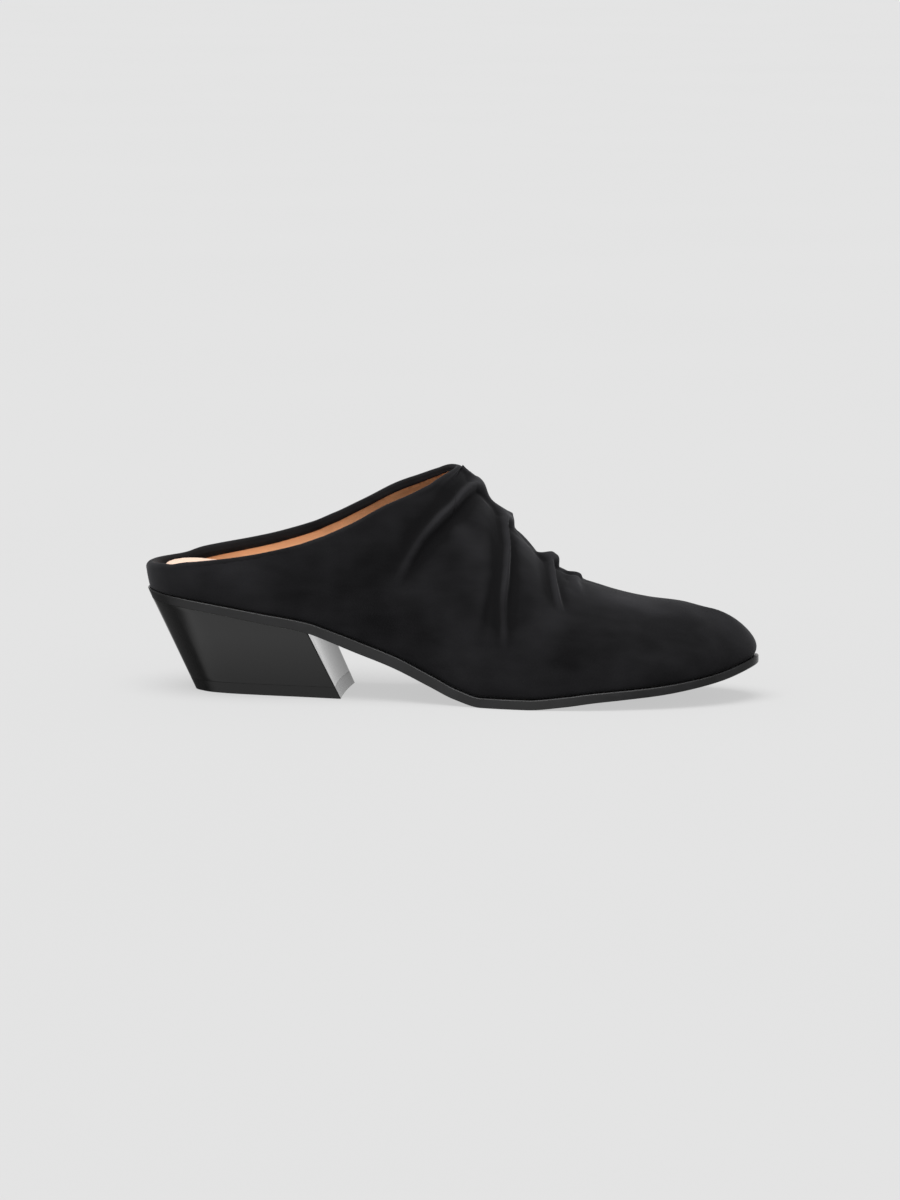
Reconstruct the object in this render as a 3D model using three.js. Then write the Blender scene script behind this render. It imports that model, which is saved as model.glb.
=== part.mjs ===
// A woman's heeled mule in suede, right shoe, in millimetres.
// The shoe is laid out with x = 0 at the back edge of the sole, the toe along +X, the inner side of the
// foot at +Y and the floor at z = 0. The last line but one moves its box to stand centred on the origin.

import * as THREE from "three";
import { mergeVertices } from "three/addons/utils/BufferGeometryUtils.js";

// The last and the sole
const SHOE_LENGTH = 262; // sole, from its back edge to the toe tip
const BALL_WIDTH = 79; // sole across the ball of the foot
const SEAT_WIDTH = 57; // sole across the heel seat
const HEEL_RISE = 40.5; // floor to the sole's underside at the back
const TOE_SPRING = 15; // floor to the sole's underside at the toe tip
const TOE_SWING = 5; // how far the toe tip lies towards the inner side
const SOLE_THICKNESS = 4.2;
const SOLE_MARGIN = 1.8; // sole edge outside the upper
const SOLE_ROUNDING = 0.6; // rounded lower edge of the sole

// The upper
const VAMP_HEIGHT = 89; // instep at the throat, above the sole
const BACK_HEIGHT = 10.6; // topline at the back, above the sole
const INNER_RISE = 2.6; // extra height of the inner side's topline, behind the throat
const OUTER_DIP = 3; // how far the outer side's topline dips, half way to the throat
const RIDGE_LEAN = 2.5; // how far the instep's ridge lies towards the inner side
const WALL = 2.2; // suede and lining together
const COLLAR_ROLL = 4.5; // padded topline at the back, across
const THROAT_ROLL = 3; // padded topline at the throat, across
const ROLL_REACH = 5; // how far below the topline its padding fades out
const FOLD_HEIGHT = 4; // highest gathered fold on the instep
const FOLD_WIDTH = 5; // gentle rear flank of a fold on the ridge
const FOLD_PINCH = 2.4; // half width of a fold where it runs out on the side

// Insole and heel pad
const INSOLE_THICKNESS = 4;
const PAD_THICKNESS = 9; // crown of the heel pad
const PAD_LENGTH = 65;
const PAD_CLEARANCE = 1.2; // heel pad to the padded topline

// The heel
const HEEL_SLANT = 19; // how far the heel's foot stands forward of the heel seat
const HEEL_FOOT_LENGTH = 66;
const HEEL_FOOT_WIDTH = 43; // across the breast at the floor
const HEEL_INSET = 1.5; // heel's top inside the sole's edge
const BREAST_HOLLOW = 3; // depth of the heel's hollow front face
const LIFT_THICKNESS = 5;

const FIT_GAP = 0.3; // between pieces that touch

// Sole outline: distance of each edge from the centre line, as a share of the local width
const OUTLINE = [
  { at: 0, outer: 0, inner: 0 },
  { at: 0.02, outer: 0.267, inner: 0.267 },
  { at: 0.05, outer: 0.388, inner: 0.384 },
  { at: 0.1, outer: 0.47, inner: 0.46 },
  { at: 0.15, outer: 0.496, inner: 0.485 },
  { at: 0.2, outer: 0.502, inner: 0.488 },
  { at: 0.3, outer: 0.463, inner: 0.425 },
  { at: 0.4, outer: 0.427, inner: 0.346 },
  { at: 0.5, outer: 0.454, inner: 0.346 },
  { at: 0.6, outer: 0.507, inner: 0.412 },
  { at: 0.66, outer: 0.52, inner: 0.456 },
  { at: 0.7, outer: 0.516, inner: 0.477 },
  { at: 0.75, outer: 0.503, inner: 0.48 },
  { at: 0.85, outer: 0.43, inner: 0.402 },
  { at: 0.92, outer: 0.328, inner: 0.306 },
  { at: 0.97, outer: 0.2, inner: 0.194 },
  { at: 1, outer: 0, inner: 0 },
];
const SEAT_END = 0.2; // the local width is the seat's up to here, and the ball's from BALL_START
const BALL_START = 0.66;
const SWING_START = 0.6;

// Sole from the side: underside as shares of the heel rise and the toe spring, thickness, and the
// margin outside the upper, by share of the shoe's length
const PROFILE = [
  { at: 0, heel: 1, toe: 0, sole: 0.95, margin: 0.45 },
  { at: 0.1, heel: 0.92, toe: 0, sole: 0.95, margin: 0.7 },
  { at: 0.2, heel: 0.808, toe: 0, sole: 1, margin: 0.95 },
  { at: 0.27, heel: 0.72, toe: 0, sole: 1.05, margin: 1 },
  { at: 0.31, heel: 0.63, toe: 0, sole: 1.1, margin: 1 },
  { at: 0.36, heel: 0.505, toe: 0, sole: 1.15, margin: 1 },
  { at: 0.42, heel: 0.36, toe: 0, sole: 1.15, margin: 1 },
  { at: 0.48, heel: 0.185, toe: 0, sole: 1.1, margin: 1 },
  { at: 0.52, heel: 0.07, toe: 0, sole: 1.05, margin: 1 },
  { at: 0.565, heel: 0, toe: 0, sole: 1, margin: 1 },
  { at: 0.64, heel: 0, toe: 0, sole: 1, margin: 1 },
  { at: 0.7, heel: 0, toe: 0.095, sole: 1, margin: 1 },
  { at: 0.75, heel: 0, toe: 0.215, sole: 0.97, margin: 1 },
  { at: 0.8, heel: 0, toe: 0.3, sole: 0.93, margin: 1 },
  { at: 0.85, heel: 0, toe: 0.385, sole: 0.9, margin: 1 },
  { at: 0.9, heel: 0, toe: 0.515, sole: 0.86, margin: 1.05 },
  { at: 0.95, heel: 0, toe: 0.7, sole: 0.82, margin: 1.1 },
  { at: 1, heel: 0, toe: 1, sole: 0.8, margin: 1.17 },
];

const FLAT_ENDS = [0.565, 0.64]; // the tread under the ball is flat on the floor between these

// Ridge of the last above the sole, as a share of the vamp's height. Behind the throat it is the
// closed form that the sides of the upper lie on. The last row is past the ridge's end and keeps its
// slope, because the toe cap leans by it.
const CREST = [
  { at: 0.1, height: 0.97 },
  { at: 0.2, height: 1.01 },
  { at: 0.3, height: 1.065 },
  { at: 0.4, height: 1.1 },
  { at: 0.45, height: 1.085 },
  { at: 0.511, height: 1.01 },
  { at: 0.535, height: 0.965 },
  { at: 0.573, height: 0.86 },
  { at: 0.606, height: 0.75 },
  { at: 0.646, height: 0.63 },
  { at: 0.681, height: 0.555 },
  { at: 0.717, height: 0.487 },
  { at: 0.76, height: 0.43 },
  { at: 0.812, height: 0.385 },
  { at: 0.865, height: 0.352 },
  { at: 0.917, height: 0.297 },
  { at: 0.94, height: 0.2727 },
];
const SPINE_BACK = 0.1;
const SPINE_FRONT = 0.917;
const THROAT = 0.515; // where the topline crosses the ridge
const INNER_LATE = 2.5; // pushes the inner side's extra height towards the throat

// Topline above the sole, as a share of the way from the back's height to the ridge's at the throat,
// and the outer side's dip as a share of OUTER_DIP; below 0 it rises
const TOPLINE = [
  { at: 0, rise: 0, dip: 0 },
  { at: 0.03, rise: 0.016, dip: -0.3 },
  { at: 0.046, rise: 0.029, dip: -0.1 },
  { at: 0.072, rise: 0.066, dip: 0.12 },
  { at: 0.1, rise: 0.096, dip: 0.28 },
  { at: 0.156, rise: 0.157, dip: 0.44 },
  { at: 0.214, rise: 0.231, dip: 0.58 },
  { at: 0.267, rise: 0.312, dip: 0.75 },
  { at: 0.3, rise: 0.388, dip: 0.92 },
  { at: 0.347, rise: 0.515, dip: 1 },
  { at: 0.4, rise: 0.672, dip: 0.9 },
  { at: 0.44, rise: 0.779, dip: 0.82 },
  { at: 0.473, rise: 0.88, dip: 0.75 },
  { at: 0.5, rise: 0.965, dip: 0.45 },
  { at: 0.515, rise: 1, dip: 0 },
];

// Sections across the last: squareness of the arch (2 is an ellipse) and millimetres of bulge of the
// lower wall beyond the feather edge as a share of BULGE
const BULGE = 2.6;
const SECTIONS = [
  { at: 0, square: 2.6, bulge: 0.9 },
  { at: 0.2, square: 2.5, bulge: 1.05 },
  { at: 0.4, square: 2.2, bulge: 1.15 },
  { at: 0.5, square: 2.05, bulge: 1 },
  { at: 0.65, square: 2.1, bulge: 0.8 },
  { at: 0.8, square: 2.2, bulge: 0.65 },
  { at: 1, square: 2.12, bulge: 0.6 },
];
const BULGE_SCALE = 256 / 27; // makes r (1 - r)^3 peak at 1

// Gathered folds: place on the ridge and at both lower ends (shares of the length), reach down each
// side (share of the girth from ridge to sole), bend of the run and height as a share of FOLD_HEIGHT
const FOLDS = [
  { top: 0.545, outerEnd: 0.432, outerReach: 0.76, innerEnd: 0.45, innerReach: 0.6, bend: 1.4, height: 0.75 },
  { top: 0.591, outerEnd: 0.597, outerReach: 0.75, innerEnd: 0.586, innerReach: 0.62, bend: 0.6, height: 0.8 },
  { top: 0.652, outerEnd: 0.686, outerReach: 0.44, innerEnd: 0.662, innerReach: 0.4, bend: 0.6, height: 1.2 },
  { top: 0.702, outerEnd: 0.711, outerReach: 0.24, innerEnd: 0.7, innerReach: 0.18, bend: 1, height: 0.45 },
];
const FOLD_STEEP = 0.45; // width of a fold's front flank beside its rear one
const GIRTH = 85; // ridge to sole around the instep, for the lean of a fold

// Rings round the heel pad from its base up to its crown: how far in from its edge, as a share of half
// its width, and how high, as a share of its thickness
const PAD_RINGS = [
  { inward: 0.04, up: 0 },
  { inward: 0, up: 0.18 },
  { inward: 0, up: 0.46 },
  { inward: 0.07, up: 0.7 },
  { inward: 0.28, up: 0.89 },
  { inward: 0.56, up: 1 },
];
const PAD_SHOULDER = 0.62; // share of the pad's length where its round tongue starts
const PAD_TONGUE = 0.8; // fullness of the tongue

// Heel's foot: half its width at the floor as a share of the breast's, from its back to its breast
const HEEL_FOOT = [
  { at: 0, half: 0 },
  { at: 0.05, half: 0.285 },
  { at: 0.12, half: 0.46 },
  { at: 0.25, half: 0.61 },
  { at: 0.5, half: 0.755 },
  { at: 0.75, half: 0.87 },
  { at: 1, half: 1 },
];

// Numbers of steps in the faceted surfaces
const COLLAR_STEPS = 34; // stations from the back to the throat
const FOLD_STEPS = 28; // from the throat to the last fold
const TOE_STEPS = 15; // from the last fold to the tip
const COLLAR_EASE = 1.8; // packs the stations towards the throat
const FOLDS_END = 0.7;
const OUTER_ROWS = 14;
const INNER_ROWS = 7;
const ROLL_ROWS = 3;
const ROLL_ROOM = 1.25; // the padding fades within this many times the wall above the insole
const ROLL_TURN = 6; // how late the roll, upright along the sides, lies back at the throat
const PAD_STEPS = 20;
const HEEL_STEPS = 16;
const BREAST_STEPS = 6;

const HALVINGS = 40; // rounds of a search by halves

const OUTER = -1;
const INNER = 1;
const SIDES = [OUTER, INNER];
const { clamp, lerp, smoothstep } = THREE.MathUtils;

// Smooth curve through the rows of a table that never overshoots between two rows.
function curve(rows, column, place = (row) => row.at) {
  const x = rows.map(place);
  const y = rows.map((row) => row[column]);
  const chord = x.slice(1).map((next, i) => (y[i + 1] - y[i]) / (next - x[i]));
  const slope = y.map((_, i) => {
    const before = chord[Math.max(i - 1, 0)];
    const after = chord[Math.min(i, chord.length - 1)];
    return before * after <= 0 ? 0 : (2 * before * after) / (before + after);
  });
  return (at) => {
    const i = clamp(x.findIndex((next) => next > at) - 1, 0, chord.length - 1);
    const last = at >= x[x.length - 1] ? chord.length - 1 : i;
    const span = x[last + 1] - x[last];
    const s = clamp((at - x[last]) / span, 0, 1);
    const rising = s * s * (3 - 2 * s);
    const start = s * (1 - s) * (1 - s) * span * slope[last];
    const end = s * s * (1 - s) * span * slope[last + 1];
    return lerp(y[last], y[last + 1], rising) + start - end;
  };
}

// A turn t of 0 to 1 runs round half an outline: it moves slowly at the back and the toe, so that
// both ends come out round. These two give the share of the length for a turn, and the reverse.
const along = (t) => (1 - Math.cos(Math.PI * t)) / 2;
const turnAt = (at) => Math.acos(1 - 2 * clamp(at, 0, 1)) / Math.PI;
const turnOfRow = (row) => turnAt(row.at);

const halfShare = { [OUTER]: curve(OUTLINE, "outer", turnOfRow), [INNER]: curve(OUTLINE, "inner", turnOfRow) };
const heelShare = curve(PROFILE, "heel");
const toeShare = curve(PROFILE, "toe");
const soleShare = curve(PROFILE, "sole");
const marginShare = curve(PROFILE, "margin");
const crestShare = curve(CREST, "height");
const toplineShare = curve(TOPLINE, "rise");
const dipShare = curve(TOPLINE, "dip");
const squareness = curve(SECTIONS, "square");
const bulgeShare = curve(SECTIONS, "bulge");
const footShare = curve(HEEL_FOOT, "half", (row) => Math.sqrt(row.at));

const SLOPE_STEP = 0.5; // millimetres, for slopes by difference
const TURN_STEP = 1e-3; // turns, for tangents by difference

function slopeOf(height, x) {
  return (height(x + SLOPE_STEP) - height(x - SLOPE_STEP)) / (2 * SLOPE_STEP);
}

function soleBottom(x) {
  const at = clamp(x / SHOE_LENGTH, 0, 1);
  return HEEL_RISE * heelShare(at) + TOE_SPRING * toeShare(at);
}

function soleTop(x) {
  const thickness = SOLE_THICKNESS * soleShare(clamp(x / SHOE_LENGTH, 0, 1));
  return soleBottom(x) + thickness * Math.hypot(1, slopeOf(soleBottom, x));
}

function centreLine(at) {
  const share = clamp((at - SWING_START) / (1 - SWING_START), 0, 1);
  return TOE_SWING * share * share;
}

// Edge of the sole on one side, as seen from above.
function soleEdge(side, t) {
  const at = along(t);
  const width = lerp(SEAT_WIDTH, BALL_WIDTH, smoothstep(at, SEAT_END, BALL_START));
  return new THREE.Vector2(SHOE_LENGTH * at, centreLine(at) + side * width * halfShare[side](t));
}

// Level direction out of the sole's edge.
function outward(side, t) {
  if (t <= 0) return new THREE.Vector2(-1, 0);
  if (t >= 1) return new THREE.Vector2(1, 0);
  const ahead = soleEdge(side, Math.min(t + TURN_STEP, 1));
  const run = ahead.sub(soleEdge(side, Math.max(t - TURN_STEP, 0))).normalize();
  return new THREE.Vector2(-side * run.y, side * run.x);
}

const inset = (side, t, distance) => soleEdge(side, t).addScaledVector(outward(side, t), -distance);
const featherMargin = (t) => SOLE_MARGIN * marginShare(along(t));
const raised = (point, height) => new THREE.Vector3(point.x, point.y, height(point.x));

function ridgePoint(t) {
  const at = lerp(SPINE_BACK, SPINE_FRONT, along(t));
  const x = SHOE_LENGTH * at;
  return new THREE.Vector3(x, centreLine(at) + RIDGE_LEAN * Math.sin(Math.PI * along(t)), ridgeHeight(x));
}

function ridgeHeight(x) {
  return soleTop(x) + VAMP_HEIGHT * crestShare(x / SHOE_LENGTH);
}

// Surface of the last: t goes from the back to the toe, v from the feather edge up to the ridge.
function lastPoint(side, t, v) {
  const foot = inset(side, t, featherMargin(t));
  const footHeight = soleTop(foot.x) + FIT_GAP;
  const ridge = ridgePoint(t);
  const power = 2 / squareness(along(t));
  const angle = (v * Math.PI) / 2;
  const out = Math.max(Math.cos(angle), 0) ** power;
  const rise = Math.sin(angle) ** power;
  const plan = new THREE.Vector2(ridge.x, ridge.y).lerp(foot, out);
  const swell = BULGE * bulgeShare(along(t)) * BULGE_SCALE * rise * (1 - rise) ** 3;
  plan.addScaledVector(outward(side, t), swell);
  const lean = slopeOf(ridgeHeight, ridge.x) * (plan.x - ridge.x) * rise * rise;
  return new THREE.Vector3(plan.x, plan.y, lerp(footHeight, ridge.z, rise) + lean);
}

function lastNormal(side, t, v) {
  const atEnd = t <= 0 || t >= 1; // both sides meet here, so they share one normal
  const hand = atEnd ? OUTER : side;
  const ahead = lastPoint(hand, Math.min(t + TURN_STEP, 1), v);
  const run = ahead.sub(lastPoint(hand, Math.max(t - TURN_STEP, 0), v));
  if (v >= 1) return new THREE.Vector3(-run.z, 0, run.x).normalize();
  const lower = lastPoint(hand, t, Math.max(v - TURN_STEP, 0));
  const up = lastPoint(hand, t, Math.min(v + TURN_STEP, 1)).sub(lower);
  const normal = up.cross(run).multiplyScalar(hand).normalize();
  return atEnd ? normal.setY(0).normalize() : normal;
}

function toplineHeight(side, x) {
  const at = clamp(x / SHOE_LENGTH, 0, THROAT);
  const inner = INNER_RISE * Math.sin(Math.PI * (at / THROAT) ** INNER_LATE);
  const handed = side === INNER ? inner : -OUTER_DIP * dipShare(at);
  return soleTop(x) + lerp(BACK_HEIGHT, VAMP_HEIGHT * crestShare(THROAT), toplineShare(at)) + handed;
}

const throatTurn = turnAt((THROAT - SPINE_BACK) / (SPINE_FRONT - SPINE_BACK));
const rollAt = (t) => lerp(COLLAR_ROLL, THROAT_ROLL, clamp(t / throatTurn, 0, 1));

// How far up the last the wall goes at a turn: to the topline, or over the ridge past the throat.
function wallTop(side, t) {
  if (t >= throatTurn) return 1;
  const upright = 1 - (t / throatTurn) ** ROLL_TURN;
  let low = 0;
  let high = 1;
  for (let round = 0; round < HALVINGS; round += 1) {
    const middle = (low + high) / 2;
    const point = lastPoint(side, t, middle);
    const wanted = toplineHeight(side, point.x) - (rollAt(t) / 2) * upright;
    if (point.z < wanted) low = middle;
    else high = middle;
  }
  return high;
}

// Height of the gathered folds at a place on the vamp.
function foldHeight(side, x, v) {
  const down = 1 - v;
  let height = 0;
  for (const fold of FOLDS) {
    const reach = side === OUTER ? fold.outerReach : fold.innerReach;
    const end = side === OUTER ? fold.outerEnd : fold.innerEnd;
    const share = down / reach;
    if (share >= 1) continue;
    const crest = SHOE_LENGTH * lerp(fold.top, end, share ** fold.bend);
    const drift = (share * SHOE_LENGTH * (end - fold.top)) / (reach * GIRTH);
    const distance = (x - crest) / Math.hypot(1, drift);
    const flank = distance < 0 ? FOLD_WIDTH : FOLD_WIDTH * FOLD_STEEP;
    const width = lerp(flank, FOLD_PINCH, Math.sqrt(share));
    height += FOLD_HEIGHT * fold.height * (1 - share * share) * Math.exp(-((distance / width) ** 2));
  }
  return height;
}

// Collects faces and closes them into one geometry.
class Skin {
  corners = [];

  sheet(rows, turned = false) {
    for (let i = 0; i + 1 < rows.length; i += 1) {
      for (let j = 0; j + 1 < rows[i].length; j += 1) {
        const [a, b, c, d] = [rows[i][j], rows[i + 1][j], rows[i + 1][j + 1], rows[i][j + 1]];
        this.corners.push(...(turned ? [a, c, b, a, d, c] : [a, b, c, a, c, d]));
      }
    }
    return this;
  }

  geometry() {
    const loose = new THREE.BufferGeometry().setFromPoints(this.corners);
    const shared = mergeVertices(loose, 1e-4);
    const index = Array.from(shared.index.array);
    const kept = [];
    for (let i = 0; i < index.length; i += 3) {
      const [a, b, c] = index.slice(i, i + 3);
      if (a !== b && b !== c && c !== a) kept.push(a, b, c);
    }
    shared.setIndex(kept);
    const faceted = shared.toNonIndexed();
    faceted.computeVertexNormals();
    return faceted;
  }
}

const steps = (count) => Array.from({ length: count + 1 }, (_, i) => i / count);

// Stations shared by the upper, the insole and the outsole, so that their facets follow each other:
// they crowd towards the throat and stay close as far as the last fold.
const stations = [
  ...steps(COLLAR_STEPS).map((s) => throatTurn * (1 - (1 - s) ** COLLAR_EASE)),
  ...steps(FOLD_STEPS).slice(1).map((s) => lerp(throatTurn, FOLDS_END, s)),
  ...steps(TOE_STEPS).slice(1).map((s) => lerp(FOLDS_END, 1, s)),
];
const byTurn = (a, b) => a - b;

// A closed slab between rings that run round the same outline, listed from the bottom up.
function slab(turns, rings) {
  const skin = new Skin();
  for (const side of SIDES) {
    skin.sheet(turns.map((t) => rings.map((ring) => ring(side, t))), side === INNER);
  }
  const across = (ring) => turns.map((t) => SIDES.map((side) => ring(side, t)));
  skin.sheet(across(rings[0]), true);
  skin.sheet(across(rings[rings.length - 1]));
  return skin.geometry();
}

function upperGeometry() {
  const skin = new Skin();
  const brink = { [OUTER]: [], [INNER]: [] }; // topline points with their normals
  for (const side of SIDES) {
    const outerRows = [];
    const innerRows = [];
    for (const t of stations) {
      const top = wallTop(side, t);
      const outerWall = steps(OUTER_ROWS).map((s) => {
        const v = top * s;
        const point = lastPoint(side, t, v);
        return point.addScaledVector(lastNormal(side, t, v), foldHeight(side, point.x, v));
      });
      const normal = lastNormal(side, t, top);
      const edge = outerWall[OUTER_ROWS];
      const girth = edge.distanceTo(outerWall[0]);
      const innerWall = steps(INNER_ROWS).map((s) => {
        if (s === 0) return raised(inset(side, t, featherMargin(t) + WALL), (x) => soleTop(x) + FIT_GAP);
        if (s === 1 && t <= throatTurn) return edge.clone().addScaledVector(normal, -rollAt(t));
        const reach = Math.min(ROLL_REACH, ROLL_ROOM * (girth - INSOLE_THICKNESS));
        const below = throatDistance(t, (1 - s) * girth) / reach;
        const wall = lerp(WALL, rollAt(t), Math.exp(-below * below));
        return lastPoint(side, t, top * s).addScaledVector(lastNormal(side, t, top * s), -wall);
      });
      outerRows.push(outerWall);
      innerRows.push(innerWall);
      brink[side].push({ edge, normal, t });
    }
    skin.sheet(outerRows, side === INNER);
    skin.sheet(innerRows, side === OUTER);
    skin.sheet(stations.map((_, i) => [outerRows[i][0], innerRows[i][0]]), side === OUTER);
  }
  const outerBrink = brink[OUTER].slice(1, COLLAR_STEPS + 1).reverse();
  const loop = [...outerBrink, ...brink[INNER].slice(0, COLLAR_STEPS)];
  const rolled = loop.map(({ edge, normal, t }, i) => {
    const ahead = loop[(i + 1) % loop.length].edge;
    const behind = loop[(i + loop.length - 1) % loop.length].edge;
    const over = ahead.clone().sub(behind).cross(normal).normalize();
    const radius = rollAt(t) / 2;
    const centre = edge.clone().addScaledVector(normal, -radius);
    return steps(ROLL_ROWS + 1).map((s) => {
      const angle = Math.PI * s;
      const arm = normal.clone().multiplyScalar(radius * Math.cos(angle));
      return arm.addScaledVector(over, radius * Math.sin(angle)).add(centre);
    });
  });
  skin.sheet([...rolled, rolled[0]], true);
  return skin.geometry();
}

// Distance from the topline to a place a way down the wall: past the throat the topline is the throat
// itself, so that the roll's padding fades forward along the ridge and down both sides.
function throatDistance(t, down) {
  const forward = Math.max(ridgePoint(t).x - ridgePoint(throatTurn).x, 0);
  return Math.hypot(forward, down);
}

function outsoleGeometry() {
  const turns = [...stations, ...FLAT_ENDS.map(turnAt)].sort(byTurn);
  const ring = (distance, height) => (side, t) => raised(inset(side, t, distance), height);
  return slab(turns, [
    ring(SOLE_ROUNDING, soleBottom),
    ring(0, (x) => soleBottom(x) + SOLE_ROUNDING),
    ring(0, (x) => soleTop(x) - SOLE_ROUNDING / 2),
    ring(SOLE_ROUNDING / 3, soleTop),
  ]);
}

const insoleTop = (x) => soleTop(x) + FIT_GAP + INSOLE_THICKNESS;

function insoleGeometry() {
  const fit = (t) => featherMargin(t) + WALL + FIT_GAP;
  const edge = (side, t) => inset(side, t, fit(t));
  return slab(stations, [
    (side, t) => raised(edge(side, t), (x) => soleTop(x) + FIT_GAP),
    (side, t) => raised(edge(side, t), insoleTop),
  ]);
}

// Outline of the heel pad: the back follows the topline's padding, the front is a round tongue.
function padEdge(side, s, distance) {
  const margin = featherMargin(0) + COLLAR_ROLL + PAD_CLEARANCE;
  const shoulder = turnAt((margin + PAD_SHOULDER * PAD_LENGTH) / SHOE_LENGTH);
  if (s <= PAD_SHOULDER) return inset(side, (shoulder * s) / PAD_SHOULDER, margin + distance);
  const start = inset(side, shoulder, margin + distance);
  const angle = ((s - PAD_SHOULDER) / (1 - PAD_SHOULDER)) * (Math.PI / 2);
  const tip = margin + PAD_LENGTH - distance;
  return new THREE.Vector2(lerp(start.x, tip, Math.sin(angle)), start.y * Math.cos(angle) ** PAD_TONGUE);
}

function padGeometry() {
  const base = (x) => insoleTop(x) + FIT_GAP;
  const half = padEdge(INNER, PAD_SHOULDER, 0).y;
  const turns = [...steps(PAD_STEPS), PAD_SHOULDER].sort(byTurn);
  const rings = PAD_RINGS.map(({ inward, up }) => (side, s) => {
    return raised(padEdge(side, s, half * inward), (x) => base(x) + PAD_THICKNESS * up);
  });
  return slab(turns, rings);
}

// The heel is ruled from the sole's outline down to its foot, leaning forward. Each ray keeps the top
// and the foot of one place round the outline; the breast's rays are hollowed between the two sides.
function heelRays() {
  const slant = HEEL_SLANT / HEEL_RISE;
  const topPoint = (side, t) => raised(inset(side, t, HEEL_INSET), (x) => soleBottom(x) - FIT_GAP);
  const footX = (point) => point.x + slant * point.z;
  const back = footX(topPoint(OUTER, 0));
  const breastTurn = (side) => {
    let low = 0;
    let high = 0.5;
    for (let round = 0; round < HALVINGS; round += 1) {
      const middle = (low + high) / 2;
      if (footX(topPoint(side, middle)) < back + HEEL_FOOT_LENGTH) low = middle;
      else high = middle;
    }
    return low;
  };
  const flank = (side) =>
    steps(HEEL_STEPS).map((s) => {
      const top = topPoint(side, s * breastTurn(side));
      const x = footX(top);
      const share = clamp((x - back) / HEEL_FOOT_LENGTH, 0, 1);
      const half = (HEEL_FOOT_WIDTH / 2) * footShare(Math.sqrt(share));
      return { top, foot: new THREE.Vector3(x, side * half, 0) };
    });
  const outerFlank = flank(OUTER);
  const innerFlank = flank(INNER);
  const first = outerFlank[HEEL_STEPS];
  const last = innerFlank[HEEL_STEPS];
  const breast = steps(BREAST_STEPS).slice(1, -1).map((s) => {
    const hollow = BREAST_HOLLOW * 4 * s * (1 - s);
    const top = first.top.clone().lerp(last.top, s);
    const foot = first.foot.clone().lerp(last.foot, s);
    top.x -= hollow;
    top.z = soleBottom(top.x) - FIT_GAP;
    foot.x -= hollow;
    return { top, foot };
  });
  return [...outerFlank, ...breast, ...innerFlank.slice(1).reverse()];
}

// A ruled block between two levels of the heel's rays; a level is a share of the way from foot to top.
function ruledBlock(lowLevel, highLevel) {
  const rays = heelRays();
  const cut = (level) => rays.map((ray) => ray.foot.clone().lerp(ray.top, level(ray)));
  const low = cut(lowLevel);
  const high = cut(highLevel);
  const skin = new Skin();
  skin.sheet([...low.keys(), 0].map((i) => [low[i], high[i]]));
  for (const [ring, turned] of [[low, true], [high, false]]) {
    const plan = ring.map((point) => new THREE.Vector2(point.x, point.y));
    for (const [a, b, c] of THREE.ShapeUtils.triangulateShape(plan, [])) {
      skin.corners.push(...(turned ? [ring[a], ring[c], ring[b]] : [ring[a], ring[b], ring[c]]));
    }
  }
  return skin.geometry();
}

const atHeight = (height) => (ray) => height / ray.top.z;
const heelGeometry = () => ruledBlock(atHeight(LIFT_THICKNESS + FIT_GAP), () => 1);
const liftGeometry = () => ruledBlock(atHeight(0), atHeight(LIFT_THICKNESS));

const PIECES = [
  { name: "upper", make: upperGeometry, color: 0x1c1c1e, roughness: 0.95 },
  { name: "insole", make: insoleGeometry, color: 0xb97a48, roughness: 0.6 },
  { name: "heel_pad", make: padGeometry, color: 0xeed0bc, roughness: 0.7 },
  { name: "outsole", make: outsoleGeometry, color: 0x363638, roughness: 0.6 },
  { name: "heel", make: heelGeometry, color: 0x1a1a1c, roughness: 0.2 },
  { name: "top_lift", make: liftGeometry, color: 0x161617, roughness: 0.7 },
];

const shoe = new THREE.Group();
for (const { name, make, color, roughness } of PIECES) {
  const mesh = new THREE.Mesh(make(), new THREE.MeshStandardMaterial({ color, roughness, metalness: 0 }));
  mesh.name = name;
  shoe.add(mesh);
}

const middle = new THREE.Box3().setFromObject(shoe).getCenter(new THREE.Vector3());
shoe.position.set(-middle.x, -middle.y, 0);
const mule = new THREE.Group();
mule.add(shoe);

export default mule;
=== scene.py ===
# %% [markdown]
# # A gathered suede mule on a block heel
# The packed CAD model is the frame: it fixes every size and place. Its facets are coarse, and its
# pieces are plain, so each one gets a finer twin here, made on the same curves. The twin could be a
# subdivided copy of the CAD mesh, but a surface that is worked out from the last's own curves stays
# smooth at any density and leaves room for creases and thin layers.

# %% Load the frame
import math

import bmesh
import bpy
import numpy as np
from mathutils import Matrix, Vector


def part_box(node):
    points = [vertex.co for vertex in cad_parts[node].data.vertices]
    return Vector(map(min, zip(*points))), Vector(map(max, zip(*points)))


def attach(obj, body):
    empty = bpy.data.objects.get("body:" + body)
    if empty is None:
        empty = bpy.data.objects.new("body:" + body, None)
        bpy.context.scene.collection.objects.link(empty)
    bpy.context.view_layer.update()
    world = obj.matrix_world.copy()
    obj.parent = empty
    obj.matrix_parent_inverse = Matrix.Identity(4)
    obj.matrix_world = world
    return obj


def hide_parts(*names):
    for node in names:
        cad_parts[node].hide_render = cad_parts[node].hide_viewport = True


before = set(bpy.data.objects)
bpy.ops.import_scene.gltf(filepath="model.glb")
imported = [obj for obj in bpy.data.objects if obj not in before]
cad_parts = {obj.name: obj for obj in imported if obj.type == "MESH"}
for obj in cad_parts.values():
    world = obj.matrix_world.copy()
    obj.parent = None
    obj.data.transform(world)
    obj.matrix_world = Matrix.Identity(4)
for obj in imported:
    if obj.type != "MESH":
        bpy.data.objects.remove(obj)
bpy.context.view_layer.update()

scene = bpy.context.scene
print("CAD nodes:", sorted(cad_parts))

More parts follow.
